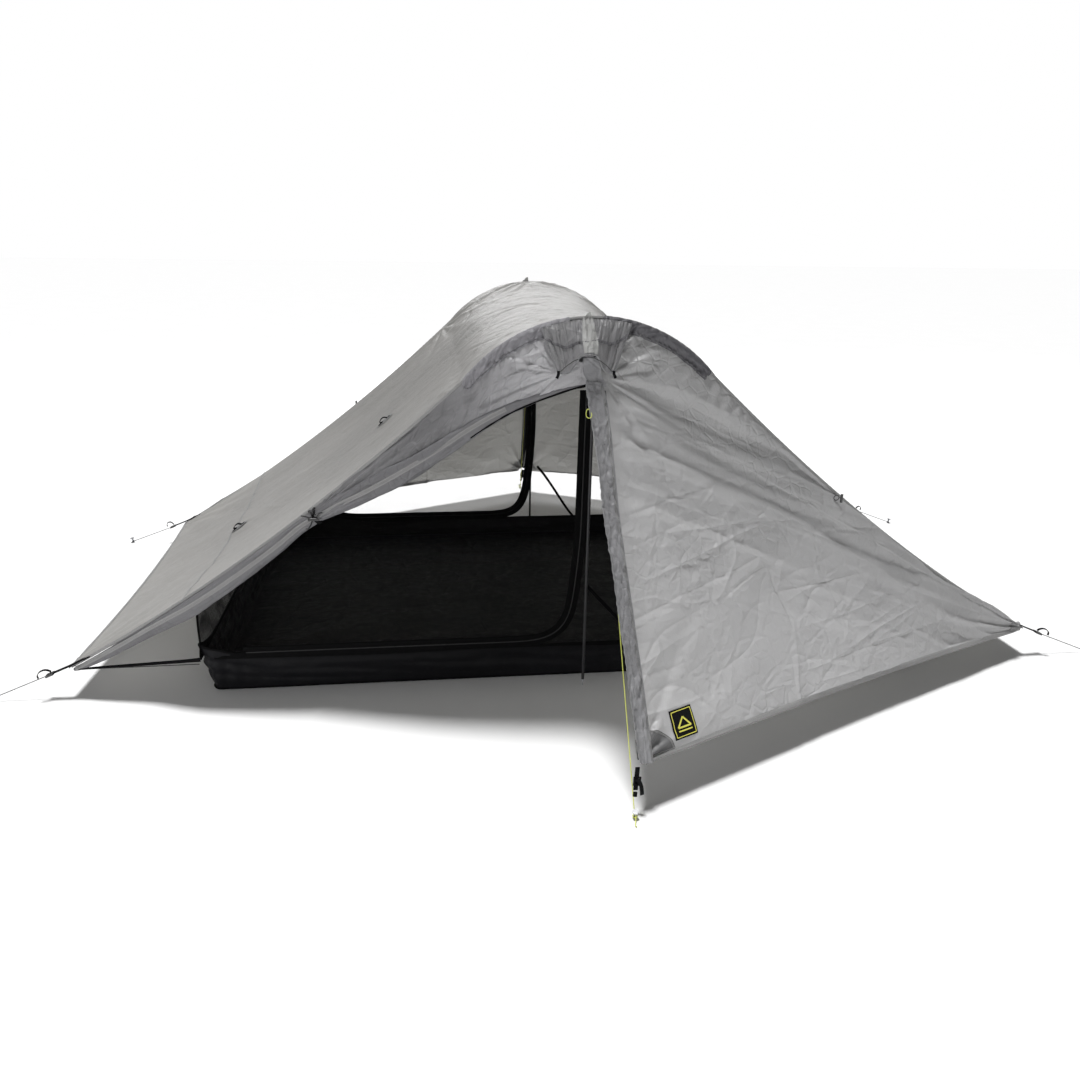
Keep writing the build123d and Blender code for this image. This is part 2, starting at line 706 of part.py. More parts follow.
def stake(ground, axis):
    """Round peg with a cap; ground is where its axis meets the soil."""
    axis = unit(axis)
    depth, head_top, cap_height, point_height = 150, 20.0, 4, 18

    def plane_at(height):
        return Plane(origin=shifted(ground, axis, height), z_dir=axis)

    shaft = Solid.make_cylinder(3.25, depth + head_top - 3, plane_at(-depth))
    point = Solid.make_cone(0.6, 3.25, point_height, plane_at(-depth - point_height))
    cap = Solid.make_cylinder(8, cap_height, plane_at(head_top - cap_height))
    return (shaft + point + cap).solids()[0]


def cord_to_stake(start, ground, stake_dir, cord_radius):
    """Cord from start ending in a ring round a stake, just above the ground."""
    axis = unit(stake_dir)
    ring_radius = 5.3
    centre = shifted(ground, stake_dir, 4.0)
    to_start = minus(start, centre)
    outward = unit(shifted(to_start, axis, -dot(to_start, axis)))
    cord = rod(start, shifted(centre, outward, ring_radius), cord_radius)
    return (cord + torus(centre, axis, ring_radius, 1.4)).solids()[0]


def corner_tab():
    upward = unit(cross(WEB_ACROSS, WEB_ALONG))
    centre = shifted(lerp(WEB_START, WEB_END, 0.5), upward, 1.2)
    return box_at(centre, WEB_ALONG, WEB_ACROSS, (72, 18, 1.4))


def corner_tensioner():
    return slotted_box(TENSIONER, WEB_ALONG, WEB_ACROSS,
                       size=(24, 20, 6), slot_shift=4, slot_size=(3.5, 13, 12))


save("corner_tensioners", *all_corners(corner_tensioner()))
save("corner_guylines", *all_corners(cord_to_stake(
    shifted(TENSIONER, WEB_ALONG, 13), CORNER_STAKE, CORNER_STAKE_DIR, cord_radius=1.3)))
corner_stake = stake(CORNER_STAKE, CORNER_STAKE_DIR)
save_near_and_far("stake_{}_right", corner_stake)
save_near_and_far("stake_{}_left", left(corner_stake))
save_near_and_far("stake_{}_vestibule", stake(VESTIBULE_STAKE, VESTIBULE_STAKE_DIR))

# cord from near the top of each pole down to the vestibule stake
apex_guyline = cord_to_stake((5.0, -787.0, 1082.0), VESTIBULE_STAKE, VESTIBULE_STAKE_DIR,
                             cord_radius=1.25)
save("apex_guylines", apex_guyline, far(apex_guyline))

# ------------------------------------------------------------------ loops and toggles
TIE_INDEX = len(ROLL) - 1                 # roll station at the tie point
TIE_CENTRE = roll_path[TIE_INDEX]
TIE_HALF_HEIGHT = roll_radii[TIE_INDEX] * ROLL_TALL


def web_loop(x):
    """Flat webbing loop standing on the roof's centre line at x."""
    point = roof_point(x, 0)
    along = unit(minus(roof_point(x + 10, 0), point))
    normal = unit(cross(along, (0, 1, 0)))
    if normal[2] <= 0:
        normal = scaled(normal, -1)
    centre = shifted(point, normal, 11.5)
    outer = box_at(centre, along, (0, 1, 0), (34, 14, 15))
    inner = box_at(centre, along, (0, 1, 0), (30.4, 30, 11.4))
    return (outer - inner).solids()[0]


def seam_toggle():
    """Near right toggle and its loop, just under the side seam."""
    x = -TIE_POINT[0]
    half_width, seam_z = edge_at(x)
    y, z = -(half_width + 33), seam_z - 4
    toggle = Solid.make_cylinder(4.0, 26, Plane(origin=(x, y - 4.0, z - 13)))
    return toggle, torus((x - 13, y + 3.6, z), (0, 1, 0), 8.0, 1.2)


def roll_band():
    """Loop round the rolled door."""
    axis = minus(roll_path[TIE_INDEX + 1], roll_path[TIE_INDEX - 1])
    return torus(TIE_CENTRE, axis, TIE_HALF_HEIGHT + 4.0, 1.6)


def roll_toggle():
    """Toggle lying along X on the outside of the rolled door."""
    x, y, z = TIE_CENTRE
    start = (x - 6 - 15, y - TIE_HALF_HEIGHT - 12.0, z + 2)
    return Solid.make_cylinder(4.5, 30, Plane(origin=start, z_dir=(1, 0, 0)))


def unused_places(shape):
    """Near right, far right and far left: everywhere but the tied-back door."""
    return [shape, far(shape), far(left(shape))]


floor_cord = rod((FLOOR_X + LEAN_X + 5, -FLOOR_Y - 7, WALL_H - 14), (1534.0, -690.0, 90.0), 1.5)
web_loops = [web_loop(x) for x in (620, 1175)]
toggle, toggle_loop = seam_toggle()
save("canopy_webbing", *all_corners(corner_tab()), *web_loops, *[left(loop) for loop in web_loops])
save("elastic_cords", *all_corners(floor_cord), *unused_places(toggle_loop), roll_band())
save("spare_toggles", *unused_places(toggle))
save("near_left_toggle", roll_toggle())
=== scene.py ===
"""A small tent with two side vestibules, pitched on a pale studio floor.

Metres, +Z up, the floor near z = 0, the middle of the inner tent at x = y = 0. X runs along the
tent: left is -X, right is +X. The camera stands on the near side (-Y); the far side is +Y.
A curved strut crosses the top on each side. The near left door is rolled up and tied under
its brow; the other three-cornered door panels are closed.
"""
import math
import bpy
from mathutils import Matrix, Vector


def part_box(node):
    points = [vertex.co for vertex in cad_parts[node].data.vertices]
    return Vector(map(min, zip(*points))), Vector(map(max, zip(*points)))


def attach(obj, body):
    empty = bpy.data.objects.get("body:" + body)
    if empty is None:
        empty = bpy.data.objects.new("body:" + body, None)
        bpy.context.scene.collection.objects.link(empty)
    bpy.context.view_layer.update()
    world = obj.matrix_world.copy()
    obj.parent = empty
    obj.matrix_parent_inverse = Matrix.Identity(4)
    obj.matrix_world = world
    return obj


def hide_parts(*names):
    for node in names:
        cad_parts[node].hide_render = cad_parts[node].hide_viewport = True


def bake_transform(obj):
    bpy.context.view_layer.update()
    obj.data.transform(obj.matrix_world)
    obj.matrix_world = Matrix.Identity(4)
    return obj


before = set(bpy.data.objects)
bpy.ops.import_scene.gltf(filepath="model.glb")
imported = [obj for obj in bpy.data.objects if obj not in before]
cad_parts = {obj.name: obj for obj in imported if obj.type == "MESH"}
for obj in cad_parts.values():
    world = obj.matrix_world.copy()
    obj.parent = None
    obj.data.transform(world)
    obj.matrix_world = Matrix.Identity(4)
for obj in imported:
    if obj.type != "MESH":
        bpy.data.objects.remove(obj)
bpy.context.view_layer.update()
from types import SimpleNamespace

import bpy
import numpy as np
from mathutils import Matrix, Vector
from mathutils.geometry import delaunay_2d_cdt

scene = bpy.context.scene

SIDES = ((-1, "near"), (1, "far"))
ENDS = ((-1, "left"), (1, "right"))

# ------------------------------------------------------------------ driving dimensions
# The side seam follows a strut arc, then falls in a slack line to the canopy corner.
ARC_R, ARC_HALF, ARC_Z, ARC_Y = 0.461, math.radians(50), 0.680, 0.768
ARC_END_X = ARC_R * math.sin(ARC_HALF)
ARC_END_Z = ARC_Z + ARC_R * math.cos(ARC_HALF)
# Points of the right far quarter; multiply by (end, side, 1) for the others.
CORNER = np.array([1.560, 0.680, 0.092])
# Door top and vestibule foot, mirrored in Y only.
DOOR_TOP = np.array([0.005, 0.860, 0.978])
VEST_FOOT = np.array([0.035, 1.385, 0.120])
TIE = np.array([-0.785, -0.750, 0.585])     # where the rolled door is tied
DOOR_REACH = 0.985                          # share of the zip line the door cloth covers
TUB_X, TUB_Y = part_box("tub_floor")[1][:2]
WALL_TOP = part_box("tub_walls")[1][2]
END_NET_X = 1.172


# ------------------------------------------------------------------ small maths
def smooth01(t):
    t = np.clip(t, 0, 1)
    return t * t * (3 - 2 * t)


def bell(dist, width, power=2):
    """1 at zero, falling away over the width."""
    return np.exp(-(dist / width) ** power)


def unit(vec):
    vec = np.asarray(vec, float)
    return vec / np.maximum(np.linalg.norm(vec, axis=-1, keepdims=True), 1e-12)


def stack(*parts):
    """Join coordinates of any matching shapes into points."""
    return np.stack(np.broadcast_arrays(*parts), -1)


def lengths(path):
    """Distance run along a path at each of its points."""
    return np.concatenate([[0], np.cumsum(np.linalg.norm(np.diff(path, axis=0), axis=1))])


def facing(grid, toward):
    """Normals of a grid of points, flipped to the given side."""
    nrm = unit(np.cross(np.gradient(grid, axis=0), np.gradient(grid, axis=1)))
    return nrm * np.sign((nrm * np.array(toward)).sum(-1, keepdims=True))


def spline(points, count):
    """Catmull-Rom curve through the points."""
    points = np.asarray(points, float)
    ctrl = np.concatenate([[2 * points[0] - points[1]], points, [2 * points[-1] - points[-2]]])
    out = []
    for place in np.linspace(0, len(points) - 1 - 1e-9, count):
        i = int(place)
        t = place - i
        p0, p1, p2, p3 = ctrl[i:i + 4]
        out.append(0.5 * ((2 * p1) + (-p0 + p2) * t + (2 * p0 - 5 * p1 + 4 * p2 - p3) * t ** 2
                          + (-p0 + 3 * p1 - 3 * p2 + p3) * t ** 3))
    return np.array(out)


def densify(points, step):
    """Add points along a polyline, about a step apart."""
    points = np.array(points)
    parts = [np.linspace(p, q, max(2, int(np.hypot(*(q - p)) / step)), endpoint=False)
             for p, q in zip(points[:-1], points[1:])]
    return np.concatenate(parts + [points[-1:]])


# ------------------------------------------------------------------ noise and cloth relief
def hashed(ix, iy, seed):
    """Fixed pseudo-random 0..1 for an integer cell."""
    h = (ix * 374761393 + iy * 668265263 + seed * 974634777 + 12345) & 0xFFFFFFFF
    h = ((h ^ (h >> 13)) * 1274126177) & 0xFFFFFFFF
    h = ((h ^ (h >> 15)) * 2246822519) & 0xFFFFFFFF
    return ((h ^ (h >> 16)) & 0xFFFFFF) / float(0xFFFFFF)


def cells(x, y):
    """Cell indices, and the place inside the cell."""
    x, y = np.broadcast_arrays(np.asarray(x, float), np.asarray(y, float))
    cell_x, cell_y = np.floor(x).astype(np.int64), np.floor(y).astype(np.int64)
    return cell_x, cell_y, x - cell_x, y - cell_y


def noise(x, y, seed):
    """Gradient noise, about -1 to 1."""
    cell_x, cell_y, in_x, in_y = cells(x, y)
    mix_x = in_x ** 3 * (in_x * (in_x * 6 - 15) + 10)
    mix_y = in_y ** 3 * (in_y * (in_y * 6 - 15) + 10)

    def slope(i, j):
        angle = 2 * np.pi * hashed(cell_x + i, cell_y + j, seed)
        return np.cos(angle) * (in_x - i) + np.sin(angle) * (in_y - j)
    return 1.5 * ((slope(0, 0) * (1 - mix_x) + slope(1, 0) * mix_x) * (1 - mix_y)
                  + (slope(0, 1) * (1 - mix_x) + slope(1, 1) * mix_x) * mix_y)


def fbm(x, y, seed):
    return sum(noise(x * 2 ** k, y * 2 ** k, seed + 17 * k) / 2 ** k for k in range(3))


def facets(x, y, seed):
    """Creased relief in 0..1: flat-ish cells with sharp folds between them."""
    warp_x = x + 0.35 * noise(x * 0.9, y * 0.9, seed + 5)
    warp_y = y + 0.35 * noise(x * 0.9 + 31, y * 0.9, seed + 6)
    cell_x, cell_y = cells(warp_x, warp_y)[:2]
    best = np.full(warp_x.shape, -1e9)
    for i in (-1, 0, 1):
        for j in (-1, 0, 1):
            cx, cy = cell_x + i, cell_y + j
            dx = warp_x - (cx + hashed(cx, cy, seed + 1))
            dy = warp_y - (cy + hashed(cx, cy, seed + 2))
            angle = 2 * np.pi * hashed(cx, cy, seed + 3)
            tilt = 0.7 * (dx * np.cos(angle) + dy * np.sin(angle))
            level = 0.5 * hashed(cx, cy, seed + 4)
            best = np.maximum(best, 0.9 - np.hypot(dx, dy) + tilt * 0.6 + level)
    return best


def warped_cells(x, y, seed, warp, fine):
    warp_x = (x + warp * noise(x * 0.8, y * 0.8, seed + 5)
              + fine * noise(x * 2.3, y * 2.3, seed + 7))
    warp_y = (y + warp * noise(x * 0.8 + 31, y * 0.8, seed + 6)
              + fine * noise(x * 2.3, y * 2.3 + 9, seed + 8))
    return cells(warp_x, warp_y)


def crumple(x, y, seed, warp=0.45):
    """Flat triangles meeting in sharp creases that star out from shared points, 0..1."""
    cell_x, cell_y, in_x, in_y = warped_cells(x, y, seed, warp, fine=0.12)

    def height(i, j):
        return hashed(cell_x + i, cell_y + j, seed + 1) ** 1.3
    h00, h10, h01, h11 = height(0, 0), height(1, 0), height(0, 1), height(1, 1)
    rising = np.where(in_x > in_y, h00 + in_x * (h10 - h00) + in_y * (h11 - h10),
                      h00 + in_y * (h01 - h00) + in_x * (h11 - h01))
    falling = np.where(in_x + in_y < 1, h00 + in_x * (h10 - h00) + in_y * (h01 - h00),
                       h11 + (1 - in_x) * (h01 - h11) + (1 - in_y) * (h10 - h11))
    return np.where(hashed(cell_x, cell_y, seed + 3) > 0.5, rising, falling)


def pinched(x, y, seed, width=0.06, share=0.45, warp=0.5):
    """Sharp creases on the sides of warped triangles, about -1 to 1.

    width is their half width in cells, share how many of the sides are creased."""
    cell_x, cell_y, in_x, in_y = warped_cells(x, y, seed, warp, fine=0.05)

    def height(i, j, kind):
        cx, cy = cell_x + i, cell_y + j
        sign = np.where(hashed(cx, cy, seed + 40 + kind) > 0.5, 1.0, -1.0)
        size = sign * (0.35 + 0.65 * hashed(cx, cy, seed + 50 + kind))
        return np.where(hashed(cx, cy, seed + 20 + kind) < share, size, 0.0)
    rising = hashed(cell_x, cell_y, seed + 3) > 0.5
    diagonal = np.where(rising, np.abs(in_x - in_y), np.abs(in_x + in_y - 1)) * 0.707
    diagonal_run = np.where(rising, 0.5 * (in_x + in_y), 0.5 * (in_x - in_y + 1))
    # cell step in x and y, kind of side, distance from it, place along it
    sides = ((0, 0, 1, in_x, in_y), (1, 0, 1, 1 - in_x, in_y), (0, 0, 2, in_y, in_x),
             (0, 1, 2, 1 - in_y, in_x), (0, 0, 3, diagonal, diagonal_run))
    return sum(height(i, j, kind) * bell(dist, width, 1) * np.clip(5 * t * (1 - t), 0, 1) ** 0.5
               for i, j, kind, dist, t in sides)


def packed(x, y, seed, gain):
    """Creases left by packing, in metres: large facets, then smaller ones in patches."""
    turn = 0.35 + seed
    fx = x * math.cos(turn) + y * math.sin(turn)
    fy = -x * math.sin(turn) + y * math.cos(turn)

    def patches(level, swing, freq, shift, step):
        return smooth01(level + swing * noise(fx * freq + shift, fy * freq, seed + step))
    some = patches(0.5, 0.9, 2.2, 0, 60)
    fewer = patches(0.35, 1.1, 3.1, 5, 61)
    rare = patches(0.15, 1.4, 4.3, 15, 62)
    relief = 0.0135 * (crumple(fx * 3.3, fy * 3.3, seed) - 0.42)
    relief += 0.0064 * (crumple(fy * 7.6, fx * 7.6, seed + 100) - 0.42) * (0.35 + 0.65 * some)
    relief += 0.0034 * (crumple(fx * 16.5, fy * 16.5, seed + 200) - 0.42) * (0.20 + 0.80 * fewer)
    relief += 0.0015 * (crumple(fy * 34, fx * 34, seed + 300) - 0.42) * (0.08 + 0.92 * rare)
    relief += 0.0044 * pinched(fx * 3.3, fy * 3.3, seed, width=0.026, share=0.55)
    relief += (0.0034 * pinched(fy * 7.6, fx * 7.6, seed + 100, width=0.048, share=0.42)
               * (0.4 + 0.6 * some))
    relief += (0.0022 * pinched(fx * 16.5, fy * 16.5, seed + 200, width=0.085, share=0.4)
               * (0.15 + 0.85 * fewer))
    return gain * relief


def ripple(x, y, freq, sway, nx, ny, seed):
    """Even gathers along x that sway with noise of frequency nx, ny."""
    return np.sin(x * freq + sway * noise(x * nx, y * ny, seed))


def fan(dx, dy, count, seed, reach):
    """Folds that fan out from a corner."""
    dist = np.hypot(dx, dy)
    angle = np.arctan2(dy, dx)
    return (np.cos(count * angle + 2.2 * noise(angle * 3.1, dist * 2.0, seed))
            * bell(dist, reach, 1) * smooth01(dist / 0.05))


# ------------------------------------------------------------------ node materials
def tinted(color, gain, lift=0.0):
    return [min(1, c * gain + lift) for c in color]


class Shader:
    """A material and short ways to wire its nodes."""

    def __init__(self, name):
        self.material = bpy.data.materials.new(name)
        self.material.use_nodes = True
        self.tree = self.material.node_tree
        self.tree.nodes.clear()
        self.output = self.tree.nodes.new("ShaderNodeOutputMaterial")

    def add(self, kind, inputs=None, **settings):
        """New node; an input takes a socket to link or a plain value."""
        node = self.tree.nodes.new("ShaderNode" + kind)
        for key, value in settings.items():
            setattr(node, key, value)
        for key, value in (inputs or {}).items():
            socket = node.inputs[key]
            if isinstance(value, bpy.types.NodeSocket):
                self.tree.links.new(value, socket)
            elif socket.type == "RGBA":
                socket.default_value = (*value, 1.0)
            else:
                socket.default_value = value
        return node

    def uv(self):
        return self.add("UVMap").outputs[0]

    def object_space(self):
        return self.add("TexCoord").outputs["Object"]

    def split(self, vec):
        return tuple(self.add("SeparateXYZ", {0: vec}).outputs)

    def calc(self, op, *values):
        return self.add("Math", dict(enumerate(values)), operation=op).outputs[0]

    def plus(self, first, second):
        return self.calc("ADD", first, second)

    def times(self, first, second):
        return self.calc("MULTIPLY", first, second)

    def vector(self, op, first, second):
        return self.add("VectorMath", {0: first, 1: second}, operation=op).outputs[0]

    def ramp(self, value, start, end, low=0.0, high=1.0):
        return self.add("MapRange", {"Value": value, "From Min": start, "From Max": end,
                                     "To Min": low, "To Max": high},
                        interpolation_type="SMOOTHSTEP").outputs["Result"]

    def mix(self, factor, first, second):
        return self.add("Mix", {0: factor, 6: first, 7: second}, data_type="RGBA").outputs[2]

    def noise(self, vec, scale, detail=2.0, rough=0.5, channel="Fac"):
        return self.add("TexNoise", {"Scale": scale, "Detail": detail, "Roughness": rough,
                                     "Vector": vec}).outputs[channel]

    def cell_edges(self, vec, scale):
        return self.add("TexVoronoi", {"Scale": scale, "Vector": vec},
                        feature="DISTANCE_TO_EDGE").outputs["Distance"]

    def warp(self, vec, scale, amount):
        shift = self.vector("SUBTRACT", self.noise(vec, scale, channel="Color"), (0.5,) * 3)
        return self.vector("ADD", vec, self.vector("MULTIPLY", shift, (amount,) * 3))

    def sine(self, coord, period):
        return self.calc("SINE", self.times(coord, 2 * math.pi / period))

    def from_middle(self, coord, period):
        """Distance from the middle of each period, 0 to 0.5."""
        part = self.calc("FRACT", self.times(coord, 1.0 / period))
        return self.calc("ABSOLUTE", self.calc("SUBTRACT", part, 0.5))

    def threads(self, first, second, period, share):
        """1 on thin crossed lines every period, 0 between."""
        lines = [self.ramp(self.from_middle(coord, period), 0.5 - share, 0.5 - 0.4 * share)
                 for coord in (first, second)]
        return self.calc("MAXIMUM", *lines)

    def bump(self, height, distance, strength, under=None):
        inputs = {"Strength": strength, "Distance": distance, "Height": height}
        if under is not None:
            inputs["Normal"] = under
        return self.add("Bump", inputs).outputs["Normal"]

    def principled(self, color, rough, normal, **levels):
        """Keyword levels name the other inputs, with _ for a space."""
        inputs = {"Base Color": color, "Roughness": rough, "Normal": normal}
        inputs.update({key.replace("_", " "): value for key, value in levels.items()})
        return self.add("BsdfPrincipled", inputs).outputs[0]

    def mix_shader(self, factor, first, second):
        return self.add("MixShader", {0: factor, 1: first, 2: second}).outputs[0]

    def finish(self, surface, tint=None, alpha=1):
        self.tree.links.new(surface, self.output.inputs[0])
        if tint:
            self.material.diffuse_color = (*tint, alpha)
        return self.material


def cloth(name, base, alt, translucency, through=None, rough=0.48, spec=0.4, sheen=0.25,
          crease=1.0, crease_scale=7.0, painted_shade=None, stitch=None):
    """Coated ripstop cloth; UVs are in metres.

    through: colour of light coming through. stitch: thread colour of two rows along a strip.
    painted_shade: painted light and shade, a colour gain ramped along a UV axis: the axis, start,
    end, and the gains at both."""
    sh = Shader(name)
    uv = sh.uv()
    along, across, _ = sh.split(uv)
    grid = sh.threads(along, across, period=0.0055, share=0.11)
    weave = sh.times(sh.sine(along, 0.0009), sh.sine(across, 0.0009))
    wide_cells = sh.cell_edges(sh.warp(uv, 2.2, 0.06), crease_scale)
    fine_cells = sh.cell_edges(sh.warp(uv, 5.0, 0.025), crease_scale * 2.6)
    big = sh.noise(uv, 2.4, detail=3.0, rough=0.55)
    fine = sh.noise(uv, 38.0, detail=3.0, rough=0.6)

    wide_creases = sh.times(sh.ramp(wide_cells, 0.0, 0.10), 0.55)
    fine_creases = sh.times(sh.times(sh.ramp(fine_cells, 0.0, 0.12), 0.6),
                            sh.ramp(big, 0.40, 0.62))
    normal = sh.bump(sh.plus(wide_creases, fine_creases), 0.0016 * crease, strength=0.55)
    normal = sh.bump(fine, 0.0018 * crease, strength=0.5, under=normal)
    normal = sh.bump(sh.plus(sh.times(grid, 1.0), sh.times(weave, 0.35)), 0.00012,
                     strength=0.6, under=normal)

    color = sh.mix(sh.ramp(big, 0.3, 0.7), base, alt)
    color = sh.mix(sh.times(grid, 0.16), color, tinted(base, 0.72))
    worn = sh.times(sh.ramp(fine_cells, 0.03, 0.0), sh.ramp(big, 0.45, 0.65))
    color = sh.mix(sh.times(worn, 0.10), color, tinted(base, 1.28))
    if stitch:
        # across runs -1..1 over the strip; the rows lie at 0.62 of its half width
        from_row = sh.calc("ABSOLUTE", sh.calc("SUBTRACT", sh.calc("ABSOLUTE", across), 0.62))
        rows = sh.calc("MAXIMUM", sh.ramp(from_row, 0.10, 0.05), 0.0)
        thread = sh.times(rows, sh.ramp(sh.from_middle(along, 0.0036), 0.36, 0.30))
        color = sh.mix(sh.times(thread, 0.6), color, stitch)
        normal = sh.bump(thread, 0.0004, strength=0.8, under=normal)
    color_with_painted_shade = color
    # painted light and shade: the surface colour is scaled by a gain ramped along one UV axis
    if painted_shade:
        axis, *limits = painted_shade
        gain = sh.ramp(sh.split(sh.uv())[axis], *limits)
        color_with_painted_shade = sh.add("VectorMath", {0: color, "Scale": gain},
                               operation="SCALE").outputs[0]
    surface = sh.principled(color_with_painted_shade, sh.ramp(fine, 0.3, 0.7, rough - 0.06, rough + 0.08),
                            normal, Specular_IOR_Level=spec, Sheen_Weight=sheen,
                            Sheen_Roughness=0.4)
    if translucency > 0:
        glow = sh.add("BsdfTranslucent", {"Color": through or color, "Normal": normal})
        surface = sh.mix_shader(translucency, surface, glow.outputs[0])
    return sh.finish(surface, base)


def netting(name, color, cover, thread):
    """See-through net: cover is the haze between threads, thread their own strength."""
    sh = Shader(name)
    uv = sh.uv()
    along, across, _ = sh.split(uv)
    grid = sh.threads(sh.plus(along, across), sh.calc("SUBTRACT", along, across),
                      period=0.0024, share=0.16)
    cloudy = sh.noise(uv, 9.0, detail=3.0, rough=0.6)
    fine = sh.noise(uv, 60.0)
    haze = sh.ramp(cloudy, 0.3, 0.7, cover * 0.85, cover * 1.15)
    alpha = sh.calc("MINIMUM", sh.plus(sh.times(grid, thread), haze), 1.0)
    normal = sh.bump(sh.plus(cloudy, sh.times(fine, 0.2)), 0.012, strength=0.6)
    surface = sh.principled(sh.mix(cloudy, color, tinted(color, 1.9)), 0.7, normal,
                            Specular_IOR_Level=0.12)
    clear = sh.add("BsdfTransparent").outputs[0]
    return sh.finish(sh.mix_shader(alpha, clear, surface), color, 0.3)


def webbing(name, base, period, obj_space=False):
    """Woven tape: ribs across, herringbone along."""
    sh = Shader(name)
    vec = sh.object_space() if obj_space else sh.uv()
    along, across, height = sh.split(vec)
    if obj_space:
        along = sh.plus(along, height)
    weave = [sh.sine(sh.calc(op, along, sh.times(across, 0.002)), period)
             for op in ("ADD", "SUBTRACT")]
    fuzz = sh.noise(vec, 220.0)
    color = sh.mix(sh.ramp(fuzz, 0.3, 0.7), base, tinted(base, 1.8, 0.002))
    normal = sh.bump(sh.plus(sh.times(*weave), fuzz), 0.0003, strength=0.8)
    return sh.finish(sh.principled(color, 0.75, normal, Specular_IOR_Level=0.08), base)


def cord(name, base, fleck):
    """Braided cord."""
    sh = Shader(name)
    vec = sh.object_space()
    braid = sh.add("TexWave", {"Scale": 260.0, "Distortion": 1.5, "Vector": vec},
                   wave_type="BANDS", bands_direction="DIAGONAL").outputs["Fac"]
    color = sh.mix(sh.ramp(braid, 0.4, 0.9), base, fleck)
    normal = sh.bump(sh.plus(braid, sh.noise(vec, 400.0)), 0.0004, strength=0.8)
    return sh.finish(sh.principled(color, 0.65, normal, Sheen_Weight=0.3), base)


def hard(name, base, metal, rough, speck, worn, brushed=0.0):
    """Plastic or metal; worn is the colour on exposed edges."""
    sh = Shader(name)
    vec = sh.object_space()
    grain = sh.noise(vec, 180.0, detail=3.0, rough=0.6)
    big = sh.noise(vec, 14.0)
    scratches = sh.noise(sh.vector("MULTIPLY", vec, (900.0, 900.0, 14.0)), 1.0)
    edge = sh.ramp(sh.add("NewGeometry").outputs["Pointiness"], 0.52, 0.58)
    color = sh.mix(sh.ramp(big, 0.35, 0.65), base, tinted(base, 1 + speck, speck * 0.01))
    color = sh.mix(sh.times(edge, 0.7), color, worn)
    height = sh.plus(sh.times(grain, 0.4), sh.times(scratches, brushed))
    surface = sh.principled(color, sh.ramp(grain, 0.3, 0.7, rough - 0.06, rough + 0.1),
                            sh.bump(height, 0.00008, strength=0.6), Metallic=metal)
    return sh.finish(surface, base)


def zip_tape(name, base):
    """Knitted tape with fine bands for teeth, in object space."""
    sh = Shader(name)
    vec = sh.object_space()
    x, _, z = sh.split(vec)
    teeth = sh.sine(sh.plus(z, sh.times(x, 0.8)), 0.0025)
    color = sh.mix(sh.ramp(teeth, 0.2, 0.9), base, tinted(base, 1.5, 0.01))
    normal = sh.bump(sh.plus(teeth, sh.noise(vec, 260.0)), 0.0004, strength=0.7)
    return sh.finish(sh.principled(color, 0.6, normal), base)


# Roof cloth; painted light makes its left end lighter, fading out by 0.70 m from the middle.
FLY = cloth("fly_cloth", base=(0.335, 0.327, 0.316), alt=(0.300, 0.294, 0.286), rough=0.46,
            translucency=0.30, through=(0.44, 0.435, 0.41), spec=0.46, crease_scale=9,
            sheen=0.12, painted_shade=(0, -1.45, -0.70, 1.24, 1.0))
# Far door panels: a lighter copy of the fly cloth, painted light.
FLY_DOOR_PAINTED_LIGHT = cloth("fly_door_painted_light_cloth", base=(0.455, 0.453, 0.455), alt=(0.400, 0.399, 0.403),
                 rough=0.38, translucency=0.28, through=(0.42, 0.415, 0.39), spec=0.50,
                 crease=2.1, crease_scale=10, sheen=0.12)
# Rolled door: a darker copy of the fly cloth, painted shade on the roll.
FLY_ROLL_PAINTED_SHADE = cloth("fly_rolled_painted_shade_cloth", base=(0.172, 0.170, 0.178), alt=(0.140, 0.138, 0.145),
                 rough=0.44, translucency=0.12, through=(0.26, 0.26, 0.26), spec=0.34,
                 crease=2.4, crease_scale=11, sheen=0.12)
# Brow over the rolled door: a copy of the fly cloth with painted shade, darker to the left, and
# painted light towards the hood.
FLY_BROW_PAINTED_SHADE = cloth("fly_brow_painted_shade_cloth", base=(0.300, 0.297, 0.306), alt=(0.262, 0.259, 0.268),
                 rough=0.44, translucency=0.16, through=(0.30, 0.30, 0.30), spec=0.34,
                 crease=2.6, crease_scale=11, sheen=0.12, painted_shade=(0, -0.46, -0.10, 0.60, 1.70))
# Near right door: a lighter copy of the fly cloth, painted light, lighter still towards the bottom
# of the door.
FLY_NEAR_PAINTED_LIGHT = cloth("fly_near_door_painted_light_cloth", base=(0.445, 0.443, 0.447), alt=(0.395, 0.393, 0.398),
                 rough=0.38, translucency=0.24, through=(0.42, 0.415, 0.39), spec=0.50,
                 crease=2.3, crease_scale=10, sheen=0.12, painted_shade=(1, -0.10, 0.42, 1.0, 1.36))
HEM = cloth("fly_hem", base=(0.27, 0.268, 0.266), alt=(0.235, 0.233, 0.232),
            translucency=0.08, crease=0.5, stitch=(0.38, 0.38, 0.37))
DARK = cloth("dark_cloth", base=(0.150, 0.147, 0.158), alt=(0.105, 0.103, 0.112), rough=0.42,
             translucency=0.06, crease=1.8, crease_scale=18)
FLAP = cloth("flap_cloth", base=(0.300, 0.299, 0.308), alt=(0.235, 0.234, 0.243), rough=0.40,
             translucency=0.08, crease=1.8, crease_scale=17)
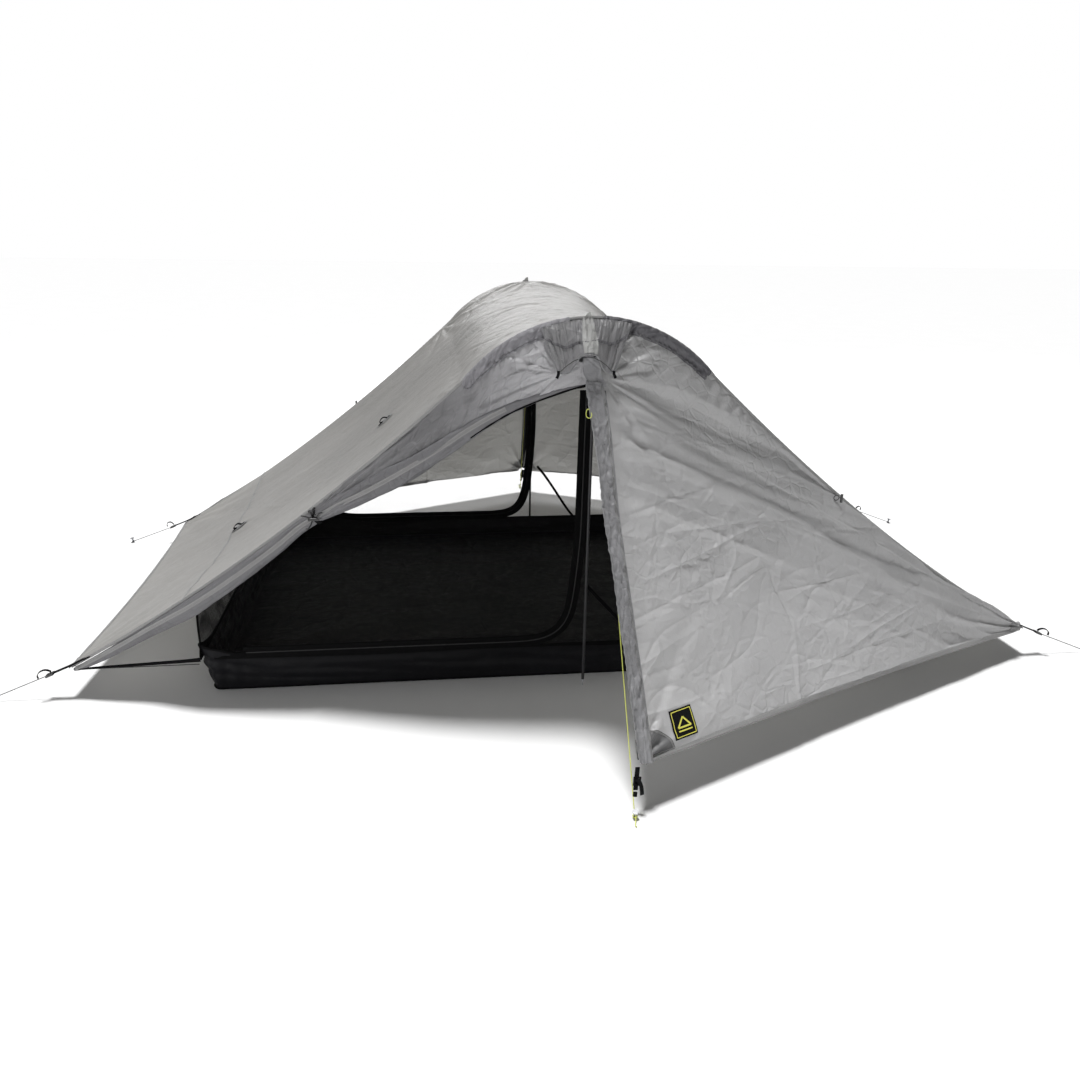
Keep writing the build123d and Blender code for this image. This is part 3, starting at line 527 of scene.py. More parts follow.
# Sleeve cloth in two copies of one dark cloth: the left halves are painted light, the right halves
# painted shade.
SLEEVE_RIGHT_PAINTED_SHADE = cloth("sleeve_right_painted_shade_cloth", base=(0.102, 0.100, 0.108),
                     alt=(0.074, 0.072, 0.080), rough=0.46, translucency=0.06, crease=1.8,
                     crease_scale=18, spec=0.3)
SLEEVE_LEFT_PAINTED_LIGHT = cloth("sleeve_left_painted_light_cloth", base=(0.245, 0.241, 0.256), alt=(0.165, 0.161, 0.174),
                    rough=0.46, translucency=0.06, crease=1.8, crease_scale=18, spec=0.3)
PATCH = cloth("corner_patch_cloth", base=(0.165, 0.165, 0.166), alt=(0.140, 0.140, 0.142),
              translucency=0.0, crease=0.6)
VENT = cloth("vent_cloth", base=(0.255, 0.252, 0.260), alt=(0.345, 0.342, 0.347), rough=0.40,
             translucency=0.34, through=(0.34, 0.34, 0.34), crease=1.5, crease_scale=24)
VENT_STRIP = cloth("vent_strip_cloth", base=(0.46, 0.46, 0.45), alt=(0.40, 0.40, 0.395),
                   translucency=0.3, through=(0.5, 0.5, 0.48), crease=1.6, crease_scale=28)
TUB = cloth("tub_cloth", base=(0.0036, 0.0036, 0.0044), alt=(0.0054, 0.0054, 0.0068),
            rough=0.52, translucency=0.0, sheen=0.0, spec=0.14, crease_scale=5.5)
NET = netting("side_netting", (0.006, 0.006, 0.006), cover=0.05, thread=0.16)
NET_END = netting("end_netting", (0.010, 0.010, 0.011), cover=0.80, thread=0.50)
NET_VENT = netting("vent_netting", (0.008, 0.008, 0.008), cover=0.5, thread=0.4)
BIND = webbing("black_binding", (0.0010, 0.0010, 0.0012), period=0.0016)
WEB = webbing("black_webbing", (0.0042, 0.0042, 0.0048), period=0.0020)
WEB_SOLID = webbing("black_webbing_solid", (0.0042, 0.0042, 0.0048), period=0.0020,
                    obj_space=True)
NET_ZIP = zip_tape("netting_zip", (0.005, 0.005, 0.0055))
FLY_ZIP = zip_tape("fly_zip", (0.05, 0.05, 0.052))
YELLOW_CORD = cord("yellow_cord", (0.62, 0.68, 0.05), fleck=(0.80, 0.82, 0.25))
BLACK_CORD = cord("black_cord", (0.006, 0.006, 0.0065), fleck=(0.022, 0.022, 0.024))
PLASTIC = hard("black_plastic", (0.007, 0.007, 0.008), metal=0.0, rough=0.42, speck=0.5,
               worn=(0.05, 0.05, 0.05))
TUBE = hard("black_tube", (0.004, 0.004, 0.005), metal=0.2, rough=0.48, brushed=0.6,
            speck=0.4, worn=(0.022, 0.022, 0.024))
ALLOY = hard("bare_alloy", (0.58, 0.58, 0.60), metal=1.0, rough=0.30, brushed=1.0, speck=0.1,
             worn=(0.75, 0.75, 0.76))
STAKE = hard("stake_alloy", (0.20, 0.21, 0.23), metal=1.0, rough=0.36, brushed=1.0, speck=0.3,
             worn=(0.6, 0.6, 0.62))
SLIDER = hard("slider_paint", (0.03, 0.03, 0.032), metal=0.6, rough=0.38, speck=0.5,
              worn=(0.35, 0.35, 0.36))
YELLOW_THREAD = cord("yellow_thread", (0.70, 0.66, 0.04), fleck=(0.82, 0.78, 0.16))


# ------------------------------------------------------------------ mesh builders
def make(name, verts, faces, uvs, mat, body):
    mesh = bpy.data.meshes.new(name)
    mesh.from_pydata([tuple(map(float, v)) for v in verts], [], faces)
    layer = mesh.uv_layers.new(name="UVMap")
    loops = np.empty(len(mesh.loops), dtype=np.int32)
    mesh.loops.foreach_get("vertex_index", loops)
    layer.data.foreach_set("uv", np.asarray(uvs, float)[loops].astype(np.float32).ravel())
    mesh.materials.append(mat)
    mesh.polygons.foreach_set("use_smooth", [True] * len(mesh.polygons))
    mesh.update()
    obj = bpy.data.objects.new(name, mesh)
    scene.collection.objects.link(obj)
    if body:
        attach(obj, body)
    return obj


def grid_faces(rows, cols, wrap):
    faces = []
    for i in range(rows - 1):
        for j in range(cols - (0 if wrap else 1)):
            k = (j + 1) % cols
            faces.append((i * cols + j, (i + 1) * cols + j, (i + 1) * cols + k, i * cols + k))
    return faces


def sheet(name, points, uvs, mat, body="tent", wrap=False):
    """Mesh from a grid of points; wrap closes it across."""
    faces = grid_faces(*points.shape[:2], wrap)
    return make(name, points.reshape(-1, 3), faces, uvs.reshape(-1, 2), mat, body)


def ribbon(name, path, nrm, mat, width, lift, body="tent", both=False, across=9, edge=None):
    """Raised strip along a path; UV is length in metres, -1..1 across.

    nrm is one normal or one per point, both adds the back face, edge(length, across) is
    extra relief."""
    path = np.asarray(path, float)
    nrm = unit(np.broadcast_to(nrm, path.shape))
    tangent = unit(np.gradient(path, axis=0))
    sideways = unit(np.cross(tangent, nrm))
    nrm = unit(np.cross(sideways, tangent))
    run = lengths(path)[:, None]
    offset = np.linspace(-1, 1, across)[None]
    half = np.broadcast_to(np.asarray(width, float), (len(path),))[:, None] / 2
    profile = 1 - np.abs(offset) ** 6
    points = (path[:, None] + sideways[:, None] * (half * offset)[..., None]
              + nrm[:, None] * (lift * profile + 0.00025)[..., None])
    if edge is not None:
        points = points + nrm[:, None] * edge(run, offset)[..., None]
    uvs = stack(run, offset)
    if both:
        back = points[:, ::-1] - nrm[:, None] * (lift * 1.6 + 0.0006)
        points = np.concatenate([points, back], 1)
        uvs = np.concatenate([uvs, uvs[:, ::-1]], 1)
    return sheet(name, points, uvs, mat, body, wrap=both)


def bent_tape(name, path, axis, width, lift, body="tent"):
    """Webbing that bends about the given axis."""
    nrm = np.cross(unit(np.gradient(path, axis=0)), np.array(axis))
    ribbon(name, path, nrm, WEB, width=width, lift=lift, body=body, both=True)


def rope(name, points, radius, mat, body="tent", sides=10):
    points = np.asarray(points, float)
    tangents = unit(np.gradient(points, axis=0))
    ref = np.array([0, 0, 1.0]) if abs(tangents[0][2]) < 0.9 else np.array([1.0, 0, 0])
    first = unit(np.cross(tangents[0], ref))
    angle = np.linspace(0, 2 * np.pi, sides, endpoint=False)[:, None]
    rings = []
    for point, tangent in zip(points, tangents):
        first = unit(first - tangent * (first @ tangent))
        second = np.cross(tangent, first)
        rings.append(point + radius * (np.cos(angle) * first + np.sin(angle) * second))
    uvs = stack(lengths(points)[:, None], np.linspace(0, 1, sides)[None])
    verts = list(np.array(rings).reshape(-1, 3)) + [points[0], points[-1]]
    all_uvs = list(uvs.reshape(-1, 2)) + [uvs[0, 0], uvs[-1, 0]]
    count = len(points)
    last = (count - 1) * sides
    faces = grid_faces(count, sides, True)
    faces += [((k + 1) % sides, k, count * sides) for k in range(sides)]
    faces += [(last + k, last + (k + 1) % sides, count * sides + 1) for k in range(sides)]
    return make(name, verts, faces, all_uvs, mat, body)


def inside(point, ring):
    odd = False
    for p, q in zip(ring, ring[1:] + ring[:1]):
        if (p[1] > point[1]) != (q[1] > point[1]) \
                and point[0] < (q[0] - p[0]) * (point[1] - p[1]) / (q[1] - p[1]) + p[0]:
            odd = not odd
    return odd


def outline_sheet(name, outline, place, mat, step, relief, body="tent", holes=()):
    """Flat outline filled with small triangles.

    relief(x, y, distance to the edge) gives the offset, place(x, y, offset) the 3D point."""
    rings = [outline] + list(holes)
    verts, edges = [], []
    for ring in rings:
        dense = []
        for p, q in zip(ring, ring[1:] + ring[:1]):
            k = max(1, int(math.hypot(q[0] - p[0], q[1] - p[1]) / step))
            dense += [(p[0] + (q[0] - p[0]) * i / k, p[1] + (q[1] - p[1]) * i / k)
                      for i in range(k)]
        start = len(verts)
        verts += dense
        edges += [(start + i, start + (i + 1) % len(dense)) for i in range(len(dense))]

    def in_cloth(point):
        return inside(point, outline) and not any(inside(point, hole) for hole in holes)
    xs, ys = [p[0] for p in outline], [p[1] for p in outline]
    border = np.array(verts)
    k = 0
    y = min(ys) + step / 2
    while y < max(ys):
        x = min(xs) + (step / 2 if k % 2 else step)
        while x < max(xs):
            gap = np.min((border[:, 0] - x) ** 2 + (border[:, 1] - y) ** 2)
            if in_cloth((x, y)) and gap > (0.45 * step) ** 2:
                verts.append((x, y))
            x += step
        y += step * 0.87
        k += 1
    found, _, triangles, *_ = delaunay_2d_cdt([Vector(v) for v in verts], edges, [], 1, 1e-6)
    faces = []
    for face in triangles:
        centre = (sum(found[i].x for i in face) / len(face),
                  sum(found[i].y for i in face) / len(face))
        if in_cloth(centre):
            faces.append(tuple(face))
    flat = np.array([(v.x, v.y) for v in found])
    dist = np.full(len(flat), 1e9)
    for ring in rings:
        ring = np.array(ring)
        for p, q in zip(ring, np.roll(ring, -1, 0)):
            span = q - p
            t = np.clip(((flat - p) @ span) / max(span @ span, 1e-12), 0, 1)
            dist = np.minimum(dist, np.linalg.norm(flat - (p + t[:, None] * span), axis=1))
    points = place(flat[:, 0], flat[:, 1], relief(flat[:, 0], flat[:, 1], dist))
    return make(name, points, faces, flat, mat, body)


def thicken(obj, thickness):
    solid = obj.modifiers.new("thick", "SOLIDIFY")
    solid.thickness = thickness
    solid.offset = -1


# ------------------------------------------------------------------ canopy lines
def seam_yz(x):
    """Side seam: strut arc in the middle, slack line out to the corners."""
    dist = np.abs(x)
    arc_z = ARC_Z + np.sqrt(np.maximum(ARC_R ** 2 - dist * dist, 1e-9))
    t = np.clip((dist - ARC_END_X) / (CORNER[0] - ARC_END_X), 0, 1)
    y = np.where(dist <= ARC_END_X, ARC_Y, ARC_Y + (CORNER[1] - ARC_Y) * t)
    slack_z = ARC_END_Z + (CORNER[2] - ARC_END_Z) * t - 0.215 * t * (1 - t)
    return y, np.where(dist <= ARC_END_X, arc_z, slack_z)


def seam_z(x):
    return float(seam_yz(x)[1])


def seam_point(x, side):
    y, z = seam_yz(x)
    taper = np.clip(1 - (np.abs(x) - ARC_END_X) / 1.2, 0, 1)
    return stack(x, side * (y + 0.0095 * taper), z + 0.0005 * taper)


def sag(x):
    """Drop of the roof's middle below its side seams."""
    return np.interp(np.abs(x), [0, 0.62, 1.19, 1.56], [0.040, 0.057, 0.037, 0.010])


def net_y(z):
    """The side netting leans out a little with height."""
    return 0.703 + (z - 0.112) * 0.0425


# ------------------------------------------------------------------ roof
TIE_OUT_X = (0.62, 1.175)


def build_roof():
    rows, cols = 640, 240
    lengthwise = np.linspace(-1, 1, rows)
    lengthwise = (np.sign(lengthwise) * np.abs(lengthwise) ** 0.92)[:, None]
    across = np.linspace(-1, 1, cols)[None]
    # the ends are cut in a shallow curve
    x = lengthwise * (CORNER[0] - 0.024 * (1 - across * across) * np.abs(lengthwise) ** 7)
    seam = seam_point(x, 1.0)
    y = across * seam[..., 1]
    grid = stack(x, y, seam[..., 2] - sag(x) * (1 - across * across))
    run = lengths(grid[:, cols // 2])
    run = (run - run[rows // 2])[:, None]
    from_seam = 1 - np.abs(across)
    top_zone = bell(run, 0.50, 4)

    relief = packed(run, y, 11, 0.46) * (1 - 0.35 * top_zone)
    relief += packed(run * 0.8 + 5, y * 0.8, 17, 0.34) * top_zone
    relief += 0.0046 * fbm(run * 1.5, y * 3.4, 3) + 0.0014 * noise(run * 2.2, y * 15, 4)
    relief += 0.0014 * noise(run * 9 + 3 * y, from_seam * 14, 5) * top_zone
    # folds fan from the corners, the strut arc and the middle of the side seams
    for end in (-1, 1):
        for side in (-1, 1):
            seed = end + 3 * side
            relief += 0.0055 * fan(end * CORNER[0] * 1.22 - run, side * 0.68 - y, count=17,
                                   seed=40 + seed, reach=0.34)
            relief += 0.0042 * fan(end * 0.46 - run, side * ARC_Y - y, count=13,
                                   seed=50 + seed, reach=0.24)
            relief += 0.0017 * fan(0.001 * end - run, side * ARC_Y - y, count=19,
                                   seed=57 + side, reach=0.22)
    angle, dist = np.arctan2(y + ARC_Y, run), np.hypot(run, y + ARC_Y)
    relief += (0.0042 * pinched(angle * 7.5, dist * 3.0, 44, width=0.06, share=0.6, warp=0.15)
               * smooth01(dist / 0.12) * bell(dist, 0.75))
    relief += 0.0048 * pinched(run * 5 + 2.2 * y, y * 5 - 2 * run, 45, width=0.045,
                               share=0.45, warp=0.25) * top_zone
    # short puckers square to the strut and side seams
    relief += (0.0026 * ripple(run, y, freq=105, sway=4, nx=5, ny=2, seed=9)
               * bell(from_seam * 0.77, 0.045, 1))
    # tie-out loops pull the cloth a little
    for loop_x in TIE_OUT_X:
        for end in (-1, 1):
            relief += 0.006 * bell(np.hypot(x - end * loop_x, y), 0.05)
    fade = smooth01(from_seam / 0.05) * smooth01((1 - np.abs(lengthwise)) / 0.02)
    grid = grid + facing(grid, (0, 0, 1)) * (relief * fade)[..., None]
    roof = sheet("fly_roof", grid, stack(run, y), FLY)
    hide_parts("roof_panel", "roof_end_panels")
    nrm = facing(grid, (0, 0, 1))

    for (end, name), edge, inner in zip(ENDS, (0, -1), (2, -3)):
        k = int(np.argmin(np.abs(grid[:, cols // 2, 0] - end * 1.2)))
        ribbon(f"cross_seam_{name}", grid[k], nrm[k], HEM, width=0.011, lift=0.0013)
        ribbon(f"end_hem_{name}", 0.5 * (grid[edge] + grid[inner]), nrm[inner], HEM,
               width=0.014, lift=0.0014, both=True)
    return grid, nrm


ROOF, ROOF_NORMALS = build_roof()


def on_roof(x, y):
    """Point and normal on the finished roof nearest to the given x and y."""
    i = np.argmin((ROOF[..., 0] - x) ** 2 + (ROOF[..., 1] - y) ** 2)
    return ROOF.reshape(-1, 3)[i], ROOF_NORMALS.reshape(-1, 3)[i]


# ------------------------------------------------------------------ door panels with brows
PANELS = {}


def brow_row(seam, low, height, t, side):
    """Row of a brow at share t of the way down from the seam, bowed outwards."""
    bow = 0.010 * 4 * t * (1 - t) * np.minimum(1, height / 0.15)
    return seam + (low - seam) * t + stack(0, side * bow, -0.3 * bow)


def panel_relief(along, drop, brow_top, frame_, seed):
    """Cloth relief of a panel; along and drop are metres along and down from the fold."""
    foot_a, foot_b, length = frame_
    low = smooth01(drop / 0.25)
    relief = packed(along, drop, seed, 1.30) * (0.55 + 0.45 * low)
    relief += (0.0015 * pinched(along * 30, drop * 30, seed + 36, width=0.16, share=0.5,
                                warp=0.6)
               * low * smooth01(0.5 + noise(along * 3.1, drop * 3.3, seed + 37)))
    # creases running with the lower hem
    hem_len = math.hypot(length - foot_a, foot_b)
    hem_x, hem_y = (length - foot_a) / hem_len, -foot_b / hem_len
    with_hem, off_hem = along * hem_x + drop * hem_y, -along * hem_y + drop * hem_x
    zone = low * smooth01(0.55 + 0.9 * noise(with_hem * 1.9, off_hem * 2.6, seed + 33))
    relief += zone * (
        0.0062 * pinched(with_hem * 2.1 + 2.0 * off_hem, off_hem * 9.0, seed + 31,
                         width=0.060, share=0.62, warp=0.12)
        + 0.0030 * pinched(with_hem * 4.5 + 3.0 * off_hem, off_hem * 17.0, seed + 32,
                           width=0.10, share=0.5, warp=0.08))
    # long shallow creases, and fans from the three corners
    relief += 0.0042 * (crumple(along * 2.2, drop * 11, seed + 30, warp=0.3) - 0.42) * low
    relief += 0.0064 * fan(along - foot_a, drop - foot_b, count=15, seed=seed + 1, reach=0.42)
    relief += 0.0062 * fan(along - length, drop, count=23, seed=seed + 2, reach=0.46)
    relief += 0.0058 * fan(along, drop + 0.02, count=15, seed=seed + 3, reach=0.34)
    # folds under tension below the seam, running along it
    relief += (0.0135 * noise(along * 1.5 + 0.4 * drop, drop * 13 + 1.2 * along, seed + 4)
               * bell(drop - 0.07, 0.25) * smooth01((along + 0.05) / 0.2))
    relief += (0.0058 * noise(along * 3.0, drop * 30 + 3 * along, seed + 5)
               * bell(drop - 0.05, 0.28))
    relief += (0.0030 * pinched(along * 3.2, drop * 15 + 2.2 * along, seed + 34, width=0.10,
                                share=0.6, warp=0.08) * bell(drop - 0.10, 0.26))
    relief += 0.0055 * fbm(along * 1.3, drop * 1.6, seed + 6)
    # gathers square to the strut on the brow
    gathers = ripple(along, drop, freq=130, sway=5, nx=5, ny=3, seed=seed + 8)
    rows = np.arange(len(along))[:, None]
    return relief + (0.0034 * gathers * bell(drop - brow_top, 0.075) * smooth01(rows / 5.0)
                     * smooth01((0.50 - along) / 0.1))


def build_panel(name, end, side, body, nodes, mat, seed, hem_bow):
    """Brow and door in one cloth, folded on the line from the door top to the corner."""
    top, foot = DOOR_TOP * (1, side, 1), VEST_FOOT * (1, side, 1)
    corner = CORNER * (end, side, 1)
    axis_a = unit(corner - top)
    axis_b = unit(foot - top - axis_a * ((foot - top) @ axis_a))
    out = np.cross(axis_a, axis_b)
    out = out if out[1] * side > 0 else -out
    cols, brow_rows, door_rows = (560, 76, 330) if side < 0 else (400, 64, 250)
    share = np.linspace(0, 1, cols) ** 0.95
    grid = np.empty((brow_rows + door_rows, cols, 3))
    fold = top + share[:, None] * (corner - top)
    seam = seam_point(fold[:, 0], side)
    height = np.linalg.norm(seam - fold, axis=1)
    for i in range(brow_rows):
        grid[i] = brow_row(seam, fold, height, i / brow_rows, side)
    for i in range(door_rows):
        t = i / (door_rows - 1) * DOOR_REACH
        zip_edge = top + (foot - top) * t
        hem_edge = corner + (foot - corner) * t - axis_b * (hem_bow * t * (1 - t) * 2)
        grid[brow_rows + i] = zip_edge + share[:, None] * (hem_edge - zip_edge)
    # soften the fold line
    for _ in range(110):
        lo, hi = brow_rows - 26, brow_rows + 22
        grid[lo:hi] = 0.5 * grid[lo:hi] + 0.25 * (grid[lo - 1:hi - 1] + grid[lo + 1:hi + 1])

    along = (grid - top) @ axis_a
    steps = np.cumsum(np.linalg.norm(np.diff(grid, axis=0), axis=2), 0)
    brow_drop = np.concatenate([np.zeros((1, cols)), steps], 0)
    brow_drop = brow_drop - brow_drop[brow_rows]
    rows = np.arange(brow_rows + door_rows)[:, None]
    drop = np.where(rows < brow_rows, brow_drop, (grid - top) @ axis_b)
    foot_a, foot_b = float((foot - top) @ axis_a), float((foot - top) @ axis_b)
    zip_len = math.hypot(foot_a, foot_b)
    zip_dir, off_dir = (foot_a / zip_len, foot_b / zip_len), (foot_b / zip_len, -foot_a / zip_len)
    length = float(np.linalg.norm(corner - top))

    fade = smooth01(rows / (brow_rows / 7.0)) * smooth01((1 - share) / 0.02)
    fade = fade * (0.10 + 0.90 * smooth01((share - 0.012) / 0.055))
    fade = fade * smooth01((brow_rows + door_rows - 1 - rows) / 5.0)
    # the cloth lies flat near the lower corner, 0.918 down the zip and 0.155 off it
    flat_a = zip_dir[0] * 0.918 + off_dir[0] * 0.155
    flat_b = zip_dir[1] * 0.918 + off_dir[1] * 0.155
    calm = 1 - 0.88 * bell(np.hypot(along - flat_a, drop - flat_b), 0.070, 3)
    relief = panel_relief(along, drop, brow_drop[0], (foot_a, foot_b, length), seed)
    belly = np.sin(np.pi * np.clip(drop / foot_b, 0, 1)) * np.sin(np.pi * np.clip(share, 0, 1))
    relief = (relief - 0.014 * belly) * fade * calm
    toward = (0, side, 0.55)
    grid = grid + facing(grid, toward) * relief[..., None]
    cloth_obj = sheet(name, grid, stack(along, drop), mat, None)
    middle = top + 0.4 * (corner - top)
    blend = ("tent", body, tuple(middle - axis_b * 0.015), tuple(middle + axis_b * 0.07))
    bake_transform(cloth_obj)
    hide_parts(*nodes)
    nrm = facing(grid, toward)
    PANELS[name] = SimpleNamespace(
        grid=grid, normals=nrm, brow_rows=brow_rows, door_rows=door_rows, along=along, top=top,
        axis_a=axis_a, axis_b=axis_b, out=out, blend=blend, side=side, length=length,
        foot_a=foot_a, foot_b=foot_b, zip_dir=zip_dir, off_dir=off_dir, zip_len=zip_len,
        zip_dir_3d=unit(foot - top))
    # hem folded up along the lower edge, on both faces
    hem = ribbon(name + "_hem", 0.5 * (grid[brow_rows:, -1] + grid[brow_rows:, -3]),
                 nrm[brow_rows:, -3], HEM, width=0.016, lift=0.0014, body=None, both=True)
    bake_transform(hem)


build_panel("fly_near_right", 1, -1, "near_right_door", ["near_right_door_panel", "brow_near"],
            FLY_NEAR_PAINTED_LIGHT, seed=101, hem_bow=0.030)
build_panel("fly_far_right", 1, 1, "far_right_door", ["far_right_door_panel", "brow_far"],
            FLY_DOOR_PAINTED_LIGHT, seed=131, hem_bow=0.055)
build_panel("fly_far_left", -1, 1, "far_left_door", ["far_left_door_panel"],
            FLY_DOOR_PAINTED_LIGHT, seed=151, hem_bow=0.055)


def build_side_seam(side, name, width, lift, shift):
    """Seam between roof and brow, the whole length of the tent."""
    x = np.linspace(-1.552, 1.552, 420)
    nrm = stack(0.25 * np.sign(x) * smooth01(np.abs(x) / 0.3), side * 0.75, 0.7)
    ribbon(f"side_seam_{name}", seam_point(x, side) + np.array(shift), nrm, HEM,
           width=width, lift=lift,
           edge=lambda run, across: 0.0006 * np.sin(run * 300) * np.abs(across))


build_side_seam(-1, "near", width=0.011, lift=0.0016, shift=(0, 0, 0))
build_side_seam(1, "far", width=0.008, lift=0.0008, shift=(0, 0.0045, -0.0040))

# ------------------------------------------------------------------ rolled near left door
NEAR_TOP = DOOR_TOP * (1, -1, 1)
# share of the way from the door top to the tie, rise above that line, roll radius
ROLL_UPPER = ((0.055, 0.014, 0.0035), (0.085, 0.021, 0.005), (0.14, 0.030, 0.007),
              (0.24, 0.042, 0.012), (0.33, 0.046, 0.016), (0.44, 0.038, 0.022),
              (0.55, 0.022, 0.027), (0.67, 0.009, 0.031), (0.80, 0.0, 0.028),
              (0.90, -0.002, 0.022), (0.96, -0.006, 0.016), (1.0, -0.009, 0.0125))
# distance towards -X beyond the tie, roll radius
ROLL_LOWER = ((0.840, 0.016), (0.920, 0.020), (1.040, 0.021), (1.180, 0.019), (1.320, 0.015),
              (1.440, 0.011), (1.520, 0.007), (1.545, 0.004))
ROLL_COUNT = 620
ROLL_TALL = 1.17     # the roll is this much taller than wide


def build_tied_brow():
    """Brow above the rolled door, ending in a narrow strip left of the tie."""
    cols, rows = 620, 96
    x = DOOR_TOP[0] + (-1.550 - DOOR_TOP[0]) * np.linspace(0, 1, cols) ** 0.97
    seam = seam_point(x, -1)
    share = np.clip((x - DOOR_TOP[0]) / (TIE[0] - DOOR_TOP[0]), 0, 1)
    stations, rise, radius = np.array(ROLL_UPPER).T
    stations = np.append(0, stations)
    lift = np.interp(share, stations, np.append(0.002, rise + 0.55 * radius))
    outward = np.interp(share, stations, np.append(0, 0.55 * radius))
    low = NEAR_TOP + share[:, None] * (TIE - NEAR_TOP) + stack(0, -outward, lift)
    taper = smooth01((x + 1.55) / 0.5)
    strip = seam + stack(0, -0.010 * taper - 0.001, -0.020 * taper - 0.002)
    past_tie = smooth01((TIE[0] + 0.05 - x) / 0.10)[:, None]
    low = low * (1 - past_tie) + strip * past_tie
    height = np.linalg.norm(seam - low, axis=1)
    grid = np.empty((cols, rows, 3))
    for j in range(rows):
        grid[:, j] = brow_row(seam, low, height, j / (rows - 1), -1)

    t = np.linspace(0, 1, rows)[None]
    x, height = x[:, None], height[:, None]
    drop = t * height
    before_tie = smooth01((x - TIE[0]) / 0.1)
    relief = (0.0075 * fan(x - TIE[0], (drop - 0.02) * 1.9, count=21, seed=201, reach=0.50)
              * smooth01((x - TIE[0]) / 0.02))
    relief += packed(x, drop, 207, 0.50)
    relief += 0.0034 * (crumple(x * 3 + drop * 5, drop * 22 - x * 5, 209, warp=0.3) - 0.4)
    relief += (0.0042 * ripple(x, drop, freq=130, sway=5, nx=5, ny=3, seed=211)
               * bell(drop, 0.080) * smooth01(t / 0.05) * smooth01((x + 0.50) / 0.1))
    # folds drawn from the door top and the hood corner down to the tie
    slope = (TIE[2] - DOOR_TOP[2]) / (TIE[0] - DOOR_TOP[0])
    above = grid[..., 2] - DOOR_TOP[2] - slope * (x - DOOR_TOP[0])
    relief += before_tie * (
        0.0080 * noise(x * 1.6, above * 22 + 1.5 * x, 214) + 0.0056 * noise(x * 3.0, above * 48, 216)
        + 0.0062 * pinched(x * 2.6, above * 15 + 2 * x, 218, width=0.11, share=0.65, warp=0.08)
        + 0.0050 * pinched(x * 4.0 + 3, above * 26 - 2 * x, 219, width=0.16, share=0.5,
                           warp=0.08))
    relief += (0.0042 * fan(x + 0.10, grid[..., 2] - 1.00, count=17, seed=217, reach=0.28)
               * smooth01((-0.10 - x) / 0.04))
    under_hood = bell(x + 0.03, 0.13, 4)
    relief *= (1 - 0.75 * under_hood) * (0.45 + 0.55 * smooth01((drop - 0.035) / 0.05))
    relief *= smooth01(t / 0.06) * smooth01(np.minimum(height / 0.08, 1))
    relief *= smooth01((DOOR_TOP[0] - x) / 0.02 + 0.15)
    toward = (0, -1, 0.3)
    grid = grid + facing(grid, toward) * relief[..., None]
    sheet("fly_brow_near_left", grid, stack(x, drop), FLY_BROW_PAINTED_SHADE)
    return grid, facing(grid, toward)


def roll_frame():
    """Centre line, radius and cross directions of the roll."""
    knots = [NEAR_TOP + (-0.006, 0, 0.004)]
    radii = [0.003]
    for share, rise, radius in ROLL_UPPER:
        point = NEAR_TOP + (TIE - NEAR_TOP) * share
        knots.append(point + (0, 0.002 - 0.12 * radius, rise))
        radii.append(radius)
    for x, radius in ROLL_LOWER:
        y = float(seam_yz(x)[0]) + 0.002
        z = seam_z(x) - 1.15 * radius - 0.009
        if x <= 1.2:
            y = max(y, net_y(z) + 0.0035 + radius)     # clear of the netting
        knots.append((-x, -y, z))
        radii.append(radius)
    path = spline(knots, ROLL_COUNT)
    radius = np.interp(np.linspace(0, len(radii) - 1, ROLL_COUNT), range(len(radii)), radii)
    tangent = unit(np.gradient(path, axis=0))
    level = unit(np.cross(tangent, np.array([0, 0, 1.0])))
    return SimpleNamespace(path=path, radius=radius, tangent=tangent, level=level,
                           upright=np.cross(level, tangent), run=lengths(path),
                           tie=int(np.argmin(np.abs(path[:, 0] - TIE[0]))))


ROLL = roll_frame()


def on_roll(i, angle, radius):
    """Points and normals round the roll."""
    cos, sin = np.cos(angle)[:, None], np.sin(angle)[:, None]
    radius = np.reshape(radius, (-1, 1))
    level, upright = ROLL.level[i], ROLL.upright[i]
    points = ROLL.path[i] + level * (radius * cos) + ROLL_TALL * upright * (radius * sin)
    return points, unit(level * cos + upright * sin)


